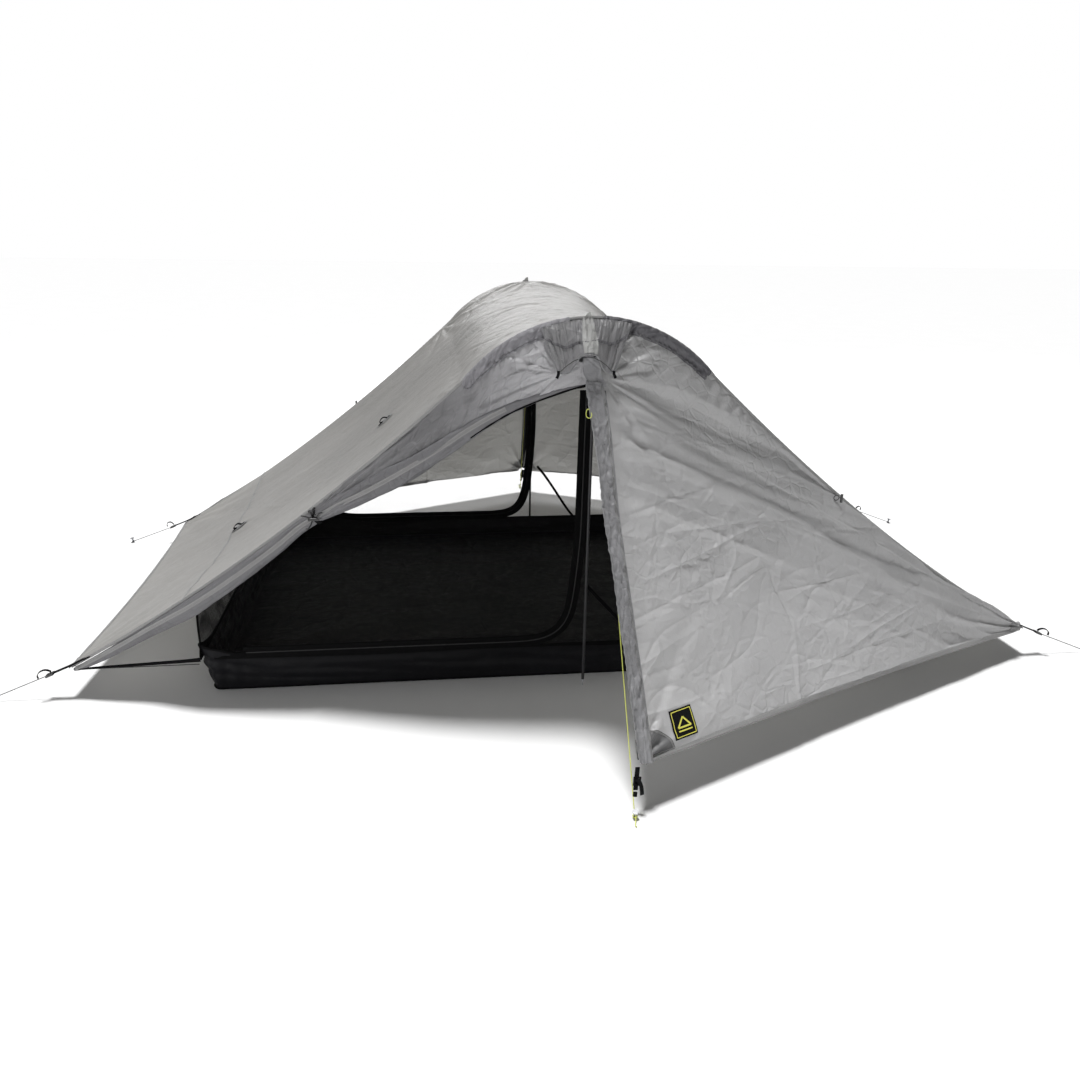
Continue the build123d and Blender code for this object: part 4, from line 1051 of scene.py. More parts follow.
def build_roll():
    angle = np.linspace(0, 2 * np.pi, 128, endpoint=False)[None]
    run, radius = ROLL.run[:, None], ROLL.radius[:, None]
    near_tie = bell(run - ROLL.run[ROLL.tie], 0.13)
    # the cloth spirals: the radius grows over one turn, then steps back
    turn = (angle / (2 * np.pi) + 0.32 + 0.09 * np.sin(run * 2.4)
            + 0.05 * noise(run * 4, 0, 301)) % 1.0
    folds = 0.085 * np.cos(4 * angle + 5.0 * run + 1.4 * noise(run * 3, 2, 302))
    folds = folds + 0.11 * noise(run * 5, np.cos(angle) * 2.4 + 5, 303)
    folds += 0.055 * noise(run * 15, np.sin(angle) * 4.0, 304)
    folds += 0.10 * (crumple(run * 9, angle * 1.3, 305) - 0.42)
    folds += 0.05 * (crumple(run * 24, angle * 3, 306) - 0.42)
    pinch = near_tie * (0.20 * np.abs(np.cos(7 * angle + 2 * noise(run * 6, 0, 309))) - 0.07)
    size = radius * (0.89 + 0.17 * turn ** 1.6) * (1 + folds * (1 - 0.3 * near_tie) + pinch)
    grid = (ROLL.path[:, None] + ROLL.level[:, None] * (size * np.cos(angle))[..., None]
            + ROLL_TALL * ROLL.upright[:, None] * (size * np.sin(angle))[..., None])
    roll = sheet("fly_near_left_rolled", grid, stack(run, angle * radius), FLY_ROLL_PAINTED_SHADE, wrap=True)
    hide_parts("near_left_door_rolled")
    # hem of the free edge along the roll
    i = np.arange(150, ROLL_COUNT - 14, 2)
    angle = np.pi * (0.90 + 0.05 * np.sin(ROLL.run[i] * 2.4))
    ribbon("rolled_door_hem", *on_roll(i, angle, ROLL.radius[i] * 1.06), HEM, width=0.013,
           lift=0.0016)
    # zip tape near the top, thinning downwards
    i = np.arange(3, 190, 2)
    t = (i - i[0]) / (i[-1] - i[0])
    face_out = np.sign(-ROLL.level[i][:, 1])
    angle = np.where(face_out > 0, 0.0, np.pi) - face_out * np.radians(38)
    ribbon("rolled_door_zip", *on_roll(i, angle, (ROLL.radius[i] + 0.0015) * 1.02), BIND,
           width=0.0070 * (1 - 0.75 * t), lift=0.0012, both=True,
           edge=lambda s, across: 0.0009 * np.sin(s * 90 + 2 * np.sin(s * 23)) * across)


TIED_BROW = build_tied_brow()
build_roll()


def brow_grid(side, half):
    """Finished brow and normals as (columns in x, rows down from the seam)."""
    if side < 0 and half == "left":
        return TIED_BROW
    panel = PANELS[f"fly_{'near' if side < 0 else 'far'}_{half}"]
    rows = panel.brow_rows + 30
    return panel.grid[:rows].swapaxes(0, 1), panel.normals[:rows].swapaxes(0, 1)


# ------------------------------------------------------------------ strut sleeves
SLEEVE_ARC_R = 0.4648


def build_sleeve(side, side_name, half, x_from, x_to):
    """Dark sleeve over the strut, laid on the finished brow."""
    brow, brow_normals = brow_grid(side, half)
    brow_x = brow[:, 0, 0]
    order = np.argsort(brow_x)
    rows, cols = 230, 30
    t = np.linspace(0, 1, rows)
    angle_from, angle_to = math.asin(x_from / SLEEVE_ARC_R), math.asin(x_to / SLEEVE_ARC_R)
    sleeve_x = SLEEVE_ARC_R * np.sin(angle_from + (angle_to - angle_from) * t)
    if half == "left":
        width = 0.036 + 0.012 * (1 - t) + 0.002 * np.sin(9 * t)
        width *= np.sqrt(np.clip(1 - (1 - np.clip(t / 0.12, 0, 1)) ** 2, 0.003, 1))
    else:
        width = 0.034 + 0.012 * t + 0.002 * np.sin(8 * t + 1)
        width *= np.clip((1 - t) / 0.075, 0.02, 1) ** 0.8
    across = np.linspace(0, 1, cols)
    grid, nrm = np.empty((rows, cols, 3)), np.empty((rows, cols, 3))
    for i in range(rows):
        k = order[np.clip(np.searchsorted(brow_x[order], sleeve_x[i]), 0, len(order) - 1)]
        column = brow[k]
        dist = lengths(column)
        start = -0.010 if side < 0 else 0.006
        wanted = np.clip(start + across * (width[i] + 0.010), 0, dist[-1] * 0.98)
        for j in range(3):
            grid[i, :, j] = np.interp(wanted, dist, column[:, j])
            nrm[i, :, j] = np.interp(wanted, dist, brow_normals[k][:, j])
        grid[i, :, 0] += sleeve_x[i] - column[0, 0]
    t, width, across = t[:, None], width[:, None], across[None]
    drop = -0.010 + across * (width + 0.010)
    run = lengths(grid[:, cols // 2])[:, None]
    over = np.clip(-drop, 0, None) if side < 0 else 0 * drop
    lift = 0.0030 + 0.0050 * bell(drop - 0.010, 0.011)
    rim = smooth01((1 - across) / 0.12) * smooth01(across / 0.08) * smooth01(t / 0.03)
    lift = lift + (0.0026 * ripple(run, drop, freq=300, sway=5, nx=16, ny=30, seed=61 + side)
                   * bell(drop - width, 0.013))
    lift += 0.0010 * noise(run * 45 + drop * 30, drop * 60, 63 + side)
    gathers = np.abs(np.sin(run * 105 + drop * 100 + 2.5 * noise(run * 14, drop * 12, 66))) - 0.6
    lift += 0.0034 * gathers * (0.35 + 0.65 * smooth01(0.5 + noise(run * 9, drop * 0, 69)))
    lift += 0.0016 * pinched(run * 30 + drop * 22, drop * 26 - run * 6, 68 + side,
                             width=0.16, share=0.6, warp=0.4)
    lift += 0.0008 * (crumple(run * 28, drop * 40, 67 + side) - 0.4)
    for _ in range(2):
        nrm[1:-1] = 0.5 * nrm[1:-1] + 0.25 * (nrm[:-2] + nrm[2:])
    grid = (grid + unit(nrm) * (lift * (0.22 + 0.78 * rim))[..., None]
            + np.array([0, -side, 0.22]) * over[..., None])
    grid[..., 2] += 0.0022 * smooth01(over / 0.004)
    # left halves take the painted light copy of the sleeve cloth, right halves the painted shade
    # copy
    sleeve = sheet(f"strut_sleeve_{side_name}_{half}", grid, stack(run, drop),
                   SLEEVE_LEFT_PAINTED_LIGHT if half == "left" else SLEEVE_RIGHT_PAINTED_SHADE)
    if half == "left":
        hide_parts("strut_sleeves")
    ribbon(f"sleeve_stitch_{side_name}_{half}", grid[6:-6, cols - 4], nrm[6:-6, cols - 4],
           DARK, width=0.0030, lift=0.0007, across=5)


for side, side_name in SIDES:
    build_sleeve(side, side_name, "left", -0.362, -0.070)
    build_sleeve(side, side_name, "right", 0.020, 0.338)


# ------------------------------------------------------------------ vent hoods
def soften_y(grid):
    """Average each inner point's y with its four neighbours."""
    y = grid[..., 1]
    y[1:-1, 1:-1] = 0.5 * y[1:-1, 1:-1] + 0.125 * (y[2:, 1:-1] + y[:-2, 1:-1]
                                                   + y[1:-1, 2:] + y[1:-1, :-2])


def brow_reach(side):
    """Function giving the distance out to the finished brow at each x and z."""
    near_top = []
    for half in ("left", "right"):
        brow = brow_grid(side, half)[0].reshape(-1, 3)
        near_top.append(brow[(np.abs(brow[:, 0] + 0.02) < 0.16) & (brow[:, 2] > 0.95)])
    source = np.concatenate(near_top)

    def reach(points):
        flat = points.reshape(-1, 3)
        out = np.empty(len(flat))
        for i in range(0, len(flat), 400):
            part = flat[i:i + 400]
            dist = ((part[:, None, 0] - source[None, :, 0]) ** 2
                    + (part[:, None, 2] - source[None, :, 2]) ** 2)
            nearest = np.argpartition(dist, 4, axis=1)[:, :4]
            out[i:i + 400] = np.max(side * source[nearest, 1], axis=1)
        return out.reshape(points.shape[:-1])
    return reach


def hood_points(across, down, side, reach, extra=0.0):
    """Pleated hood: across is -1..1, down 0 at the strut to 1 at the free edge."""
    across, down = np.broadcast_arrays(np.asarray(across, float), np.asarray(down, float))
    x = 0.126 * across - 0.024
    top = stack(x, side * 0.7895, ARC_Z + np.sqrt(0.4575 ** 2 - x ** 2))
    mouth = bell(across - 0.05, 0.50, 4)
    low = stack(-0.033 + 0.078 * across, side * (0.852 + 0.006 * mouth), 1.001 + 0.053 * mouth)
    points = top + (low - top) * down[..., None]
    pleat = (0.0048 * np.abs(np.sin(across * 15.5 + 0.9 * noise(across * 3, down * 2, 71)))
             * (0.25 + 0.75 * smooth01(down / 0.25)) * (1 - 0.35 * down))
    pleat += (0.0030 * np.abs(np.sin(across * 34 + 2.2 * noise(across * 5, down * 2, 72)))
              * smooth01((1.15 - down) / 0.5))
    pleat += 0.0022 * (crumple(across * 6, down * 4.5, 75 + side) - 0.4)
    pleat += (0.0026 * ripple(across, down, freq=60, sway=3, nx=8, ny=3, seed=78)
              * bell(down, 0.16, 1))
    pleat += 0.0016 * pinched(across * 8, down * 5, 79, width=0.12, share=0.5, warp=0.3)
    crown = 0.007 * bell(across, 0.16) * (0.35 + 0.65 * down)
    gap = 0.0030 + 0.0150 * bell(across - 0.05, 0.34, 4) * smooth01((down - 0.35) / 0.6)
    out = (np.maximum(side * points[..., 1], reach(points)) + gap * smooth01(down / 0.10)
           + 0.0015)
    points = stack(points[..., 0], side * out, points[..., 2])
    soft = smooth01((1 - np.abs(across)) / 0.06)
    return points + np.array([0, side, 0.40]) * (pleat * soft + crown + extra)[..., None]


def build_hood(side, name, reach):
    body = f"{name}_vent_hood"
    across, down = np.linspace(-1, 1, 150)[:, None], np.linspace(0, 1, 70)[None]
    grid = hood_points(across, down, side, reach)
    for _ in range(2):
        soften_y(grid)
    hood = sheet(f"vent_hood_{name}", grid, stack(across * 0.1, down * 0.15), VENT, body)
    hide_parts(body)
    nrm = facing(grid, (0, side, 0.3))
    # light strip down the middle
    down = np.linspace(-0.02, 0.97, 70)[:, None]
    half = np.interp(down, [-0.02, 0.25, 0.6, 0.97], [0.10, 0.15, 0.22, 0.24])
    across = np.linspace(-1, 1, 15)[None] * half + 0.10 * down
    strip = hood_points(across, np.clip(down, 0, 1), side, reach,
                        0.0032 + 0.0014 * noise(across * 30, down * 6, 77))
    strip[..., 2] += np.where(down < 0, -down * 0.15, 0)
    sheet(f"vent_strip_{name}", strip, stack(across * 0.1, down * 0.15), VENT_STRIP, body)
    # pointed tab at the ridge
    t, across = np.linspace(0, 1, 22)[:, None], np.linspace(-1, 1, 9)[None]
    half = 0.0105 * np.sqrt(np.clip(1 - t ** 1.6, 0, 1)) + 0.0006
    tab = stack(-0.022 + 0.005 * t ** 2 + half * across,
                side * (0.7915 - 0.004 * t + 0.004 * across ** 2), 1.132 + 0.025 * t)
    sheet(f"vent_tab_{name}", tab, stack(t * 0.03, across * 0.01), VENT_STRIP, body)
    # bound lower edge, seam arc, side seams and black corner tabs
    ribbon(f"vent_edge_{name}", grid[6:-6, -2], nrm[6:-6, -2], FLAP, width=0.0062,
           lift=0.0010, body=body, both=True, across=7)
    across = np.linspace(-0.97, 0.97, 120)[:, None]
    down = 0.14 + 0.56 * np.sqrt(np.clip(1 - np.abs(across), 0, 1))
    arc = hood_points(across, down, side, reach, 0.0008)[:, 0]
    ribbon(f"vent_seam_{name}", arc, (0, side, 0.45), DARK, width=0.0085, lift=0.0010,
           body=body, across=7)
    for k, end, tag in ((2, -1, "l"), (-3, 1, "r")):
        ribbon(f"vent_side_{name}_{tag}", grid[k], nrm[k], FLAP, width=0.0048, lift=0.0009,
               body=body, across=7)
        shape = [(0, side * 0.001, 0.008), (0, side * 0.003, 0),
                 (end * 0.002, side * 0.005, -0.006), (end * 0.005, side * 0.006, -0.011)]
        ribbon(f"vent_corner_{name}_{tag}", spline(grid[k, -1] + np.array(shape), 16),
               (0.2 * end, side, 0.2), WEB, width=0.008, lift=0.0008, body=body, both=True)


def build_flap_head(reach):
    """Darker strip from under the mouth of the near hood to the head of the storm flap."""
    z, across = np.meshgrid(np.linspace(1.066, 0.968, 46), np.linspace(-1, 1, 16),
                            indexing="ij")
    half = 0.024 + 0.0012 * noise(z * 60, across, 83)
    grid = stack(-0.016 + 0.014 * smooth01((1.005 - z) / 0.035) + half * across, 0, z)
    relief = 0.0030 * (crumple(z * 30, across * 1.6, 84) - 0.2) + 0.0015 * np.abs(
        pinched(z * 26, across * 2, 85, width=0.14, share=0.6, warp=0.3))
    grid[..., 1] = -(reach(grid) + 0.0026 + relief)
    soften_y(grid)
    sheet("flap_head_near", grid, stack(z, across * 0.024), FLAP)


def build_vent_net(side, name):
    """Netting behind the hood, between the seam and the door fold."""
    x, t = np.meshgrid(np.linspace(-0.050, 0.036, 30), np.linspace(0.28, 0.60, 16),
                       indexing="ij")
    seam = seam_point(x, side)
    share = np.abs(x - DOOR_TOP[0]) / (CORNER[0] - DOOR_TOP[0])
    low = stack(x, side * (DOOR_TOP[1] - share * (DOOR_TOP[1] - CORNER[1])),
                DOOR_TOP[2] + 0.006 - share * (DOOR_TOP[2] - CORNER[2]))
    grid = seam + (low - seam) * t[..., None]
    grid[..., 1] += side * (0.010 * 4 * t * (1 - t) + 0.0045)
    net = sheet(f"vent_netting_{name}", grid, grid[..., [0, 2]], NET_VENT)
    if side < 0:
        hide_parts("vent_meshes")


for side, side_name in SIDES:
    reach = brow_reach(side)
    build_hood(side, side_name, reach)
    if side < 0:
        build_flap_head(reach)
    build_vent_net(side, side_name)


# ------------------------------------------------------------------ storm flaps and patches
def zip_to_panel(panel, run, off):
    """Distance down the zip and off it, turned into along and drop on the panel."""
    return (panel.zip_dir[0] * run + panel.off_dir[0] * off,
            panel.zip_dir[1] * run + panel.off_dir[1] * off)


def on_plane(panel, run, off, lift):
    """Point over the panel's flat plane."""
    along, drop = zip_to_panel(panel, run, off)
    return (panel.top + along[..., None] * panel.axis_a + drop[..., None] * panel.axis_b
            + lift[..., None] * panel.out)


def on_cloth(panel, along, drop, lift):
    """Points and normals on the finished door cloth, bilinear."""
    row = np.clip(np.asarray(drop, float) / panel.foot_b / DOOR_REACH, 0, 1)
    row = panel.brow_rows + row * (panel.door_rows - 1)
    along, row = np.broadcast_arrays(np.asarray(along, float), row)
    points, nrms = np.empty(along.shape + (3,)), np.empty(along.shape + (3,))
    for i in np.ndindex(along.shape):
        row0 = min(int(row[i]), panel.brow_rows + panel.door_rows - 2)
        part = row[i] - row0
        point, nrm = 0, 0
        for j, weight in ((row0, 1 - part), (row0 + 1, part)):
            col = np.interp(along[i], panel.along[j], np.arange(len(panel.along[j])))
            k = min(int(col), len(panel.along[j]) - 2)
            frac = col - k
            point = point + weight * (panel.grid[j, k] * (1 - frac)
                                      + panel.grid[j, k + 1] * frac)
            nrm = nrm + weight * (panel.normals[j, k] * (1 - frac)
                                  + panel.normals[j, k + 1] * frac)
        nrms[i] = nrm / np.linalg.norm(nrm)
        points[i] = point + nrms[i] * lift
    return points, nrms


def storm_flap(name, panel, first_edge, second_edge, body, node, seed, sewn):
    """Flap over the fly zip; the edges are (distance down the zip, offset off it).

    sewn is 1 when the second edge is the sewn one, -1 when it is the first."""
    rows, cols = 520, 44
    run = np.linspace(0.004, panel.zip_len - 0.002, rows)[:, None]
    across = np.linspace(0, 1, cols)[None]
    first, second = (np.interp(run, *np.array(edge).T) for edge in (first_edge, second_edge))
    for edge in (first, second):
        for _ in range(400):
            edge[1:-1] = 0.5 * edge[1:-1] + 0.25 * (edge[:-2] + edge[2:])
    free = 1 - across if sewn > 0 else across           # 1 at the free edge
    wobble = 0.0030 * noise(run * 9, 3, seed) + 0.0018 * noise(run * 30, 0, seed + 1)
    off = first + (second - first) * across - sewn * wobble * free
    pucker = (0.0016 * ripple(run, across, freq=120, sway=6, nx=6, ny=1.5, seed=seed + 2)
              * bell(free - 0.35, 0.30))
    pucker += 0.0032 * pinched(run * 17 + across * 1.5, across * 2.4, seed + 8, width=0.14,
                               share=0.6, warp=0.4)
    pucker += 0.0022 * pinched(run * 38, across * 4.5, seed + 9, width=0.16, share=0.5,
                               warp=0.4)
    pucker += 0.0022 * noise(run * 20 + across * 3, across * 3.0, seed + 3)
    pucker += (0.0010 * ripple(run, across, freq=230, sway=4, nx=11, ny=1, seed=seed + 4)
               * free ** 2)
    pucker += 0.0060 * (crumple(run * 15 + across * 1.2, across * 2.6, seed + 5) - 0.4)
    pucker += 0.0028 * (crumple(run * 36, across * 5.0, seed + 6) - 0.4)
    pucker = pucker * smooth01(free / 0.12) * (0.45 + 0.55 * np.minimum(1, run / 0.06))
    grid = on_plane(panel, run, off, 0.0060 + 0.0050 * smooth01(free / 0.35) + pucker)
    flap = sheet(name, grid, stack(run, off), FLAP, body)
    thicken(flap, 0.0009)
    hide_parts(node)
    nrm = facing(grid, (0, panel.side, 0.4))
    stitch_cols = (39, 33) if sewn > 0 else (4, 10)
    for tag, j in zip("ab", stitch_cols):
        ribbon(f"{name}_stitch_{tag}", grid[4:-4, j], nrm[4:-4, j], HEM, width=0.0034,
               lift=0.0007, body=body, across=5)
    j = 1 if sewn > 0 else cols - 2
    ribbon(f"{name}_edge", grid[2:-2, j], nrm[2:-2, j], FLAP, width=0.006, lift=0.0009,
           body=body, across=7, both=True)


NEAR_DOOR, FAR_DOOR = PANELS["fly_near_right"], PANELS["fly_far_right"]
NEAR_FLAP_FREE = [(0, -0.051), (0.165, -0.044), (0.400, -0.032), (0.490, -0.026),
                  (0.650, -0.016), (0.822, -0.006), (1.006, 0.002)]
NEAR_FLAP_SEWN = [(0, 0.004), (0.050, 0.015), (0.110, 0.017), (0.381, 0.017),
                  (0.645, 0.031), (0.824, 0.040), (1.006, 0.046)]
storm_flap("storm_flap_near", NEAR_DOOR, NEAR_FLAP_FREE, NEAR_FLAP_SEWN, "near_right_door",
           "near_storm_flap", seed=401, sewn=1)
angle = np.linspace(0, 2 * np.pi, 26)
rope("flap_loop", on_plane(NEAR_DOOR, 0.098 + 0.0125 * np.cos(angle),
                           -0.0535 + 0.0085 * np.sin(angle), 0.013 + 0.002 * np.sin(2 * angle)),
     0.0010, YELLOW_CORD, "near_right_door")
storm_flap("storm_flap_far", FAR_DOOR, [(0, 0.002), (1.006, 0.002)],
           [(0, 0.046), (1.006, 0.046)], "far_right_door", "far_storm_flap", seed=411, sewn=-1)


def corner_patch(name, panel, centre, from_dir, to_dir, from_radius, to_radius):
    """Patch round a corner, swept from one direction to another."""
    start = math.atan2(from_dir[1], from_dir[0])
    stop = math.atan2(to_dir[1], to_dir[0])
    if stop - start > math.pi:
        stop -= 2 * math.pi
    if start - stop > math.pi:
        stop += 2 * math.pi
    t, out = np.meshgrid(np.linspace(0, 1, 36), np.linspace(0.02, 1, 16), indexing="ij")
    angle = start + (stop - start) * t
    radius = (from_radius + (to_radius - from_radius) * t) * out
    along, drop = radius * np.cos(angle), radius * np.sin(angle)
    points, _ = on_cloth(panel, centre[0] + along, centre[1] + drop, 0.0011)
    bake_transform(sheet(name, points, stack(along, drop), PATCH, None))
    edge = ribbon(name + "_edge", points[:, -2], panel.out, HEM, width=0.005, lift=0.0010,
                  body=None, across=7)
    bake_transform(edge)


for name, panel in PANELS.items():
    hem_dir = (panel.length - panel.foot_a, -panel.foot_b)
    shift = 0.044 if panel is NEAR_DOOR else 0.0
    foot = (panel.foot_a * DOOR_REACH + panel.off_dir[0] * shift,
            panel.foot_b * DOOR_REACH + panel.off_dir[1] * shift)
    corner_patch(name + "_vest_patch", panel, foot, (-panel.zip_dir[0], -panel.zip_dir[1]),
                 hem_dir, 0.062, 0.080)
    corner_patch(name + "_end_patch", panel, (panel.length - 0.002, 0.0015), (-1, 0.0),
                 (-hem_dir[0], -hem_dir[1]), 0.075, 0.075)


# ------------------------------------------------------------------ badge on the near door
def on_badge(down, across, lift):
    """down and across run 0..1 over the slightly turned patch."""
    run = 0.8875 + 0.0748 * down - 0.0131 * across
    off = 0.1115 + 0.0135 * down + 0.0728 * across
    return on_cloth(NEAR_DOOR, *zip_to_panel(NEAR_DOOR, run, off), lift)


def badge_line(name, start, end, width):
    line = np.linspace(start, end, 17)
    ribbon(name, *on_badge(line[:, 0], line[:, 1], 0.0024), YELLOW_THREAD, width=width,
           lift=0.0007, body="near_right_door", across=7)


def build_badge():
    """Black patch with a stitched border, a triangle and a line below it."""
    down, across = np.meshgrid(np.linspace(0, 1, 26), np.linspace(0, 1, 22), indexing="ij")
    patch = sheet("badge_patch", on_badge(down, across, 0.0022)[0],
                  stack(down * 0.076, across * 0.074), WEB, "near_right_door")
    thicken(patch, 0.0014)
    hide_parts("near_label_patch")
    low, high = 0.07, 0.93
    border = [(low, low), (low, high), (high, high), (high, low), (low, low)]
    for k in range(4):
        badge_line(f"badge_border_{k}", border[k], border[k + 1], 0.0022)
    triangle = [(0.30, 0.50), (0.64, 0.22), (0.64, 0.78), (0.30, 0.50)]
    for k in range(3):
        badge_line(f"badge_peak_{k}", triangle[k], triangle[k + 1], 0.0046)
    badge_line("badge_base", (0.76, 0.20), (0.76, 0.80), 0.0036)


build_badge()


# ------------------------------------------------------------------ floor tub
def tub_outline():
    """Rounded rectangle as rows of x, y and outward direction, about 7 mm apart."""
    radius = 0.030
    cx, cy = TUB_X - radius, TUB_Y - radius
    ring = []
    for x, y, start in ((cx, cy, 0), (-cx, cy, 90), (-cx, -cy, 180), (cx, -cy, 270)):
        for degrees in np.linspace(start, start + 90, 12):
            cos, sin = math.cos(math.radians(degrees)), math.sin(math.radians(degrees))
            ring.append((x + radius * cos, y + radius * sin, cos, sin))
    ring = np.array(ring)
    dense = []
    for p, q in zip(ring, np.roll(ring, -1, 0)):
        k = max(1, int(np.hypot(*(q[:2] - p[:2])) / 0.007))
        dense += [p + (q - p) * i / k for i in range(k)]
    return np.array(dense)


def build_tub_walls():
    ring = tub_outline()
    out = unit(ring[:, 2:])
    x, y = ring[:, :1], ring[:, 1:2]
    run = lengths(ring[:, :2])[:, None]
    corner = np.hypot(np.abs(x) - TUB_X, np.abs(y) - TUB_Y)
    far_slack = smooth01(y / 0.5) * smooth01((1.05 - np.abs(x)) / 0.35)
    top = (WALL_TOP + 0.002 + 0.042 * bell(corner, 0.085, 1.4)
           + 0.0045 * noise(run * 2.3, 0, 501) - 0.036 * far_slack)
    t = np.linspace(0, 1, 26)[None]
    z = top * t
    wrinkles = 0.0062 * noise(run * 3.2 + 0.8 * t, t * 4.2, 503)
    wrinkles += 0.0028 * noise(run * 19, t * 3, 504)
    wrinkles += 0.0110 * (crumple(run * 4.2 + t, t * 2.6, 505) - 0.4)
    wrinkles += 0.0050 * (crumple(run * 13, t * 4.5, 506) - 0.4)
    wrinkles += 0.0055 * bell(corner, 0.12) * np.sin(run * 130)
    wrinkles += 0.0060 * (pinched(run * 1.5 + 0.7 * t, t * 2.3 + run * 0.35, 507, width=0.16,
                                  share=0.8, warp=0.3) - 0.3)
    wrinkles *= np.sin(math.pi * np.minimum(1, t * 0.9 + 0.05))
    bulge = 0.0045 * np.sin(math.pi * t)
    # the walls lean out more at the ends than at the sides
    lean = out[:, None] * np.array([0.0268, 0.0118]) * (z / WALL_TOP)[..., None]
    swell = out[:, None] * (wrinkles + bulge)[..., None] * np.array([1.0, 0.55])
    grid = np.concatenate([ring[:, None, :2] + lean + swell, (z + 0.0006)[..., None]], -1)
    grid = np.concatenate([grid, grid[:1]], 0)
    run = np.append(run, run[-1] + 0.007)[:, None]
    out = stack(out[:, 0], out[:, 1], 0)
    out = np.concatenate([out, out[:1]], 0)
    walls = sheet("tub_walls_cloth", grid, stack(run, t * 0.11), TUB)
    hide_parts("tub_walls")
    ribbon("tub_top_binding", grid[:, -1], out, BIND, width=0.009, lift=0.0012, both=True)
    seam = grid[:, 0] * (1, 1, 0) - out * 0.004 + (0, 0, 0.0018)
    ribbon("tub_floor_seam", seam, (0, 0, 1.0), TUB, width=0.020, lift=0.0012)


def build_tub_floor():
    x = np.linspace(-1, 1, 330)[:, None] * (TUB_X - 0.004)
    y = np.linspace(-1, 1, 200)[None] * (TUB_Y - 0.004)
    fade = smooth01((TUB_X - np.abs(x)) / 0.06) * smooth01((TUB_Y - np.abs(y)) / 0.06)
    relief = 0.010 * np.clip(facets(x * 3.2, y * 3.2, 511) - 0.75, 0, 1)
    relief += 0.0048 * np.clip(facets(x * 8, y * 8, 513) - 0.8, 0, 1)
    relief += 0.006 * np.clip(noise(x * 2.4 + y * 1.2, y * 9, 515), 0, 1)
    floor = sheet("tub_floor_cloth", stack(x, y, 0.0016 + relief * fade), stack(x, y), TUB)
    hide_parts("tub_floor")


build_tub_walls()
build_tub_floor()

# ------------------------------------------------------------------ side netting
# Zip line of the netting door, (x, z) from the top down and then along the bottom to the left.
NET_ZIP_LINE = [
    (-0.009, 0.960), (-0.009, 0.500), (-0.012, 0.440), (-0.016, 0.390), (-0.020, 0.340),
    (-0.025, 0.285), (-0.032, 0.235), (-0.044, 0.195), (-0.064, 0.166), (-0.092, 0.146),
    (-0.132, 0.135), (-0.182, 0.132), (-1.080, 0.132)]
NET_ARC_R = 0.438
NET_SLOPE = [(x, seam_z(x) - 0.024) for x in (1.130, 1.0, 0.860, 0.700, 0.560, 0.440, 0.380)]
NET_ARC = [(NET_ARC_R * math.sin(math.radians(a)), ARC_Z + NET_ARC_R * math.cos(math.radians(a)))
           for a in (44, 36, 28, 20, 11, 0, -11, -20, -28, -36, -44)]
NET_OUTLINE = ([(-1.130, 0.110), (1.130, 0.110)] + NET_SLOPE + NET_ARC
               + [(-x, z) for x, z in reversed(NET_SLOPE)])
NET_DOOR = [(-0.0105, 0.958)] + [(x - 0.0012, z + 0.0012) for x, z in NET_ZIP_LINE[1:]]


